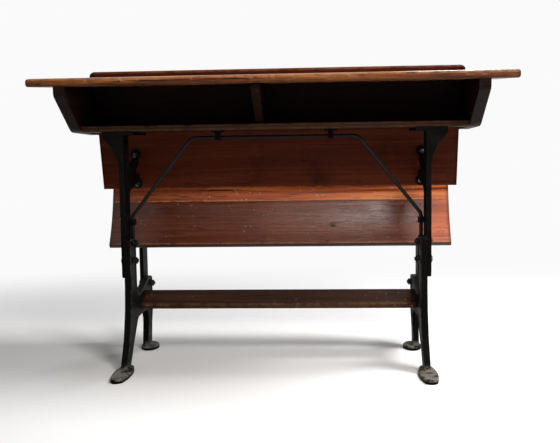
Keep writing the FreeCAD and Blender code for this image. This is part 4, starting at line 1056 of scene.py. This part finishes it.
@dataclass
class Backrest(Assembly):
    """The leaning back of two boards, with domed bolt heads on its far side."""

    thick: float = 0.020
    bolt_x: float = 0.40865
    bolt_ups: Spot = (0.018, 0.104)
    head_thick: float = 0.003
    bolt_head: Dome = Dome(0.0099, 0.0024)
    # The back's finish paints near-black shade on its near face inside the box.
    finish: WoodFinish = WoodFinish(
        "back_boards", (0.020, 0.0032, 0.001), (0.062, 0.010, 0.0028), (0.11, 0.022, 0.0065),
        worn=(0.18, 0.062, 0.025), stain=0.6, end=0.512, shift=3.9, spread=0.34,
        edges=((0.0715, 0.7995), (0.0899, 0.804), BACK_FOOT), painted_box_shade=True)

    def build(self) -> None:
        """Dress the boards and bolts, and dome the bolt heads.

        The middle of a head lies up the back by its own distance u and through it by t: Y is the foot less
        u sin(lean) plus t cos(lean), and Z is the foot plus u cos(lean) plus t sin(lean).
        """
        dress(("back_board_lower", "back_board_upper"), self.finish.material(), Ease.BACK)
        dress(("back_bolts", "back_nuts"), self.metals.bright, Ease.BOLT)
        side, up = (grid.ravel() for grid in np.meshgrid([-1.0, 1.0], self.bolt_ups))
        through = self.thick + self.head_thick
        sine, cosine = math.sin(BACK_LEAN), math.cos(BACK_LEAN)
        spots = np.column_stack([side * self.bolt_x, BACK_FOOT[0] - up * sine + through * cosine,
                                 BACK_FOOT[1] + up * cosine + through * sine])
        axis = np.tile((0.0, cosine, sine), (len(spots), 1))
        take(self.bolt_head.build("back_bolt_heads", spots, axis), "desk", self.metals.bright)


@dataclass
class DeskFrame(Assembly):
    """The two sliding standards of the desk and the sway brace between them."""

    outer_face: float = 0.415
    front: float = -0.056
    rear: float = 0.008
    bottom: float = 0.237
    crown: float = 0.6165
    bead: Bead = Bead(0.0030, 0.0014)
    inset: float = 0.0045
    rear_run: float = 0.055
    below_crown: float = 0.126

    def build(self) -> None:
        """Dress the castings, the brace and the small steel, and bead the outer faces."""
        iron, edge = self.metals.iron, self.metals.edge
        dress(("desk_standard_left", "desk_standard_right"), iron, Ease.CASTING, edge)
        dress(("brace_rod",), self.metals.rod)
        dress(("brace_eye_left_upper", "brace_eye_left_lower", "brace_eye_right_upper",
               "brace_eye_right_lower", "brace_saddle_left", "brace_saddle_right"),
              iron, Ease.SMALL_CASTING, edge)
        dress(("brace_eye_nuts", "flange_screws", "saddle_screws"), self.metals.black, Ease.SCREW)
        start = self.bottom + self.inset
        low = np.linspace(start, start + self.rear_run, 24)
        high = np.linspace(start, self.crown - self.below_crown, 60)
        lines = [np.column_stack([np.full_like(low, self.rear - self.inset), low]),
                 np.column_stack([np.full_like(high, self.front + self.inset), high])]
        for side, hand in HANDS:
            piece = self.bead.build(f"standard_bead_{hand}", lines, side * self.outer_face, side)
            take(piece, "desk", edge)


@dataclass
class BaseStand(Assembly):
    """The two base castings on oval feet, with raised rims, the footrest and the clamps."""

    inner_face: float = 0.386
    leg_front: float = 0.082
    leg_flare: float = 0.088
    leg_rear: float = -0.014
    top: float = 0.346
    web: float = 0.173
    arch: float = 0.120
    arch_front: float = -0.012
    rear_leg: Spot = (0.128, 0.180)
    rear_top: float = 0.208
    rake: float = 0.022
    heel: float = -0.112
    edge_shares: tuple = ((0.065, 0.74), (0.24, 0.33), (0.44, 0.09), (0.62, 0.0))
    rear_share: Spot = (0.75, 0.25)
    heel_share: Spot = (0.8, 0.2)
    over_bends: tuple = (0.0, 0.1, 0.1, 0.05, 0.010, 0.010, 0.040, 0.010, 0.010, 0.1, 0.0)
    under_bends: tuple = (0.0, 0.038, 0.038, 0.0)
    rim_inset: float = 0.0042
    rim: Bead = Bead(0.003, 0.0028)
    clamp_head: Dome = Dome(0.0098, 0.0028, slot=0.0022)
    rest_finish: WoodFinish = WoodFinish(
        "foot_board", (0.012, 0.004, 0.002), (0.033, 0.0115, 0.0052), (0.060, 0.023, 0.011),
        worn=(0.12, 0.068, 0.038), gleam=0.03, scuff=Scuff.LIGHT, stain=0.6, lay=Lay.LEVEL,
        edges=((0.0245, 0.1485), (0.030, 0.135)), edge_reach=0.009, end=0.386, shift=9.2)

    def rim_lines(self) -> list[np.ndarray]:
        """Lines of the raised rims, set inside the outline of a casting.

        Returns:
            The upper and the lower line, as rows of Y and Z.
        """
        front = tuple((-self.leg_front - self.leg_flare * forward, self.top * up)
                      for up, forward in self.edge_shares)
        low, high = self.rear_leg
        back, drop = self.rake * self.rear_share[0], self.arch * self.rear_share[1]
        toe = self.arch_front + (self.heel - self.arch_front) * self.heel_share[0]
        over = front + ((-self.leg_front, self.top), (self.leg_rear, self.top), (self.leg_rear, self.web),
                        (low, self.rear_top), (high, self.rear_top), (high, self.arch), (high - back, drop))
        under = ((low - back, drop), (low, self.arch), (self.arch_front, self.arch),
                 (toe, self.arch * self.heel_share[1]))
        paths = (rounded_path(over, self.over_bends), rounded_path(under, self.under_bends))
        return [path - sideways(path) * self.rim_inset for path in paths]

    def build(self) -> None:
        """Dress the stand, raise its rims and dome the clamp heads."""
        edge, steel = self.metals.edge, self.metals.black
        dress(("base_casting_left", "base_casting_right"), self.metals.iron, Ease.CASTING, edge)
        dress(("footrest_board",), self.rest_finish.material(), Ease.BOARD)
        dress(("footrest_screws", "desk_clamp_washers", "desk_clamp_nuts", "seat_clamp_washers",
               "seat_clamp_nuts"), steel, Ease.BOLT)
        clamps = ("desk_clamp_bolts", "seat_clamp_bolts")
        dress(clamps, steel)
        for side, hand in HANDS:
            piece = self.rim.build(f"base_rim_{hand}", self.rim_lines(), side * self.inner_face, -side)
            take(piece, "base", edge)
        for name in clamps:
            heads = self.clamp_head.build(f"{name}_heads", *head_spots(name))
            take(heads, "base", steel)


@dataclass
class SeatCarriage(Assembly):
    """The standards that carry the hinge of the seat."""

    def build(self) -> None:
        """Dress the standards, the pins and their nuts."""
        dress(("seat_standard_left", "seat_standard_right"), self.metals.iron, Ease.CASTING, self.metals.edge)
        dress(("hinge_pins", "hinge_nuts", "stop_pins"), self.metals.black, Ease.BOLT)


@dataclass
class TipSeat(Assembly):
    """The seat: a flat front board, a dished rear board and two iron brackets."""

    # Both seat boards carry painted light: darker to the left and lighter at the right end. The rear board
    # also has painted shade under its lower edge.
    front_finish: WoodFinish = WoodFinish(
        "seat_front_board", (0.125, 0.018, 0.0035), (0.46, 0.092, 0.018), (0.78, 0.27, 0.065),
        worn=(0.56, 0.21, 0.066), gloss=0.36, gleam=0.24, coat=0.05, scuff=Scuff.HEAVY, end=0.493, shift=1.1,
        painted_falloff=0.72, cracks=1.0, spread=0.15, painted_end_light=0.25, edges=((0.2178, 0.621), (0.166, 0.4285)),
        edge_reach=0.004)
    rear_finish: WoodFinish = WoodFinish(
        "seat_rear_board", (0.036, 0.007, 0.0022), (0.115, 0.024, 0.0075), (0.22, 0.056, 0.018),
        worn=(0.27, 0.085, 0.025), gloss=0.31, gleam=0.27, coat=0.03, scuff=Scuff.LIGHT, end=0.493, shift=6.4,
        painted_falloff=0.46, cracks=1.0, knots=((0.158, 0.3556), (0.141, 0.3118)), spread=0.32, painted_end_light=2.2,
        edges=((0.1077, 0.3062),), edge_reach=0.011, under=(0.1077, 0.3062))

    def build(self) -> None:
        """Dress the boards, brackets and screws."""
        dress(("seat_board_front",), self.front_finish.material(), Ease.BOARD)
        dress(("seat_board_rear",), self.rear_finish.material(), Ease.BOARD)
        dress(("seat_bracket_left", "seat_bracket_right"), self.metals.iron, Ease.BRACKET, self.metals.edge)
        dress(("seat_screws",), self.metals.black, Ease.SCREW)


# Studio

@dataclass(frozen=True)
class Lamp:
    """A wide soft lamp: its place, what it is turned to, its width, its power in watts and its tint."""

    name: str
    place: tuple
    aim: tuple
    width: float
    power: float
    tint: Colour = WHITE

    def build(self) -> None:
        """Put up the lamp, out of the camera's sight."""
        lamp = bpy.data.lights.new(self.name, "AREA")
        lamp.shape = "DISK"
        lamp.size = self.width
        lamp.energy = self.power
        lamp.color = self.tint
        item = bpy.data.objects.new(self.name, lamp)
        item.location = self.place
        item.visible_camera = False
        way = np.subtract(self.aim, self.place)
        item.rotation_euler = (math.acos(-way[2] / np.linalg.norm(way)), 0.0,
                               math.atan2(way[1], way[0]) - math.pi / 2)
        bpy.context.scene.collection.objects.link(item)


@dataclass
class Studio:
    """The pale floor, the soft lamps, the white surround and the camera."""

    floor_half: float = 12.0
    floor_steps: int = 9
    floor_drop: float = 0.0006
    floor_tints: tuple[Colour, Colour] = ((0.855, 0.855, 0.86), (0.88, 0.88, 0.88))
    fade: Spot = (1.05, 2.5)
    depth_pull: float = 1.9
    white: float = 0.955
    surround: float = 0.19
    yaw: float = 0.06093
    pitch: float = -0.0905
    roll: float = -0.01526
    eye: tuple = (0.13597, -2.19239, 0.59541)
    sensor: float = 36.0
    lens_pixels: float = 807.4
    frame_pixels: float = 560.0
    off_middle: Spot = (-3.84, -4.81)
    lamps: tuple[Lamp, ...] = (
        Lamp("key_lamp", (2.1, 0.12, 2.75), (0.0, 0.05, 0.35), 1.3, 112.0),
        Lamp("side_lamp", (0.98, -1.6, 1.84), (0.3, 0.1, 0.4), 0.7, 26.0),
        Lamp("sheen_lamp", (0.16, -0.95, 1.38), (0.12, 0.15, 0.37), 0.75, 5.4, (1.0, 0.9, 0.78)),
        Lamp("far_lamp", (0.9, 2.3, 1.8), (0.0, 0.0, 0.6), 0.7, 12.0),
    )

    def seen(self, web: Web) -> Sig:
        """Tell what is looked at from the light on the object.

        Args:
            web: Nodes of the floor or of the surround.

        Returns:
            One for rays of the camera, of gloss and of clear pieces, zero for others.
        """
        rays = [web.node("ShaderNodeLightPath", out=kind)
                for kind in ("Is Camera Ray", "Is Glossy Ray", "Is Transmission Ray")]
        return rays[0].most(rays[1]).most(rays[2])

    def build_floor(self) -> None:
        """A wide pale floor that takes the shadow, and turns white away from the desk.

        It is a level grid in u and v, and its share of plain white grows with the distance from the desk.
        """
        steps = np.linspace(-self.floor_half, self.floor_half, self.floor_steps)
        u, v = np.meshgrid(steps, steps, indexing="ij")
        points = np.stack([u, v, np.full_like(u, -self.floor_drop)], axis=-1)
        piece = mesh_of("floor", points, grid_faces(*u.shape)[:, ::-1].tolist())
        web = Web(bpy.data.materials.new("pale_floor"))
        x, y, _ = web.split()
        away = (x * x + y * y * self.depth_pull).root()
        white = web.node("ShaderNodeEmission", inputs={"Color": WHITE, "Strength": self.white})
        tint = web.blend(web.noise(3.0), *self.floor_tints)
        paint = web.node("ShaderNodeBsdfDiffuse", inputs={"Color": tint})
        share = web.span(away, *self.fade) * self.seen(web)
        surface = web.node("ShaderNodeMixShader", inputs={0: share, 1: paint, 2: white})
        piece.data.materials.append(web.close(surface))

    def build_surround(self) -> None:
        """White to the camera and in gloss, and a plain level of light on the object."""
        world = bpy.data.worlds.new("surround")
        bpy.context.scene.world = world
        web = Web(world)
        level = self.seen(web) * (self.white - self.surround) + self.surround
        web.close(web.node("ShaderNodeBackground", inputs={"Color": WHITE, "Strength": level}))

    def build_camera(self) -> None:
        """The photograph's camera: yaw and pitch of its axis, roll about it, and a middle off the frame's."""
        camera = bpy.data.cameras.new("camera")
        camera.sensor_width = self.sensor
        camera.lens = self.sensor * self.lens_pixels / self.frame_pixels
        camera.shift_x = -self.off_middle[0] / self.frame_pixels
        camera.shift_y = self.off_middle[1] / self.frame_pixels
        item = bpy.data.objects.new("camera", camera)
        turns = ((self.yaw, "Z"), (math.pi / 2 + self.pitch, "X"), (self.roll, "Z"))
        stand = Matrix.Translation(self.eye)
        for turn, axis in turns:
            stand = stand @ Matrix.Rotation(turn, 4, axis)
        item.matrix_world = stand
        bpy.context.scene.collection.objects.link(item)
        bpy.context.scene.camera = item

    def build(self) -> None:
        """Set up the whole studio."""
        self.build_floor()
        self.build_surround()
        for lamp in self.lamps:
            lamp.build()
        self.build_camera()
        bpy.context.scene.view_settings.view_transform = "Standard"


def main() -> None:
    """Build every sub-assembly in order, then the studio."""
    logging.basicConfig(level=logging.INFO, format="%(message)s")
    metals = Metals()
    for kind in (BaseStand, DeskFrame, BookBox, WritingTop, Backrest, SeatCarriage, TipSeat):
        kind(metals).build()
    Studio().build()


if __name__ == "__main__":
    main()
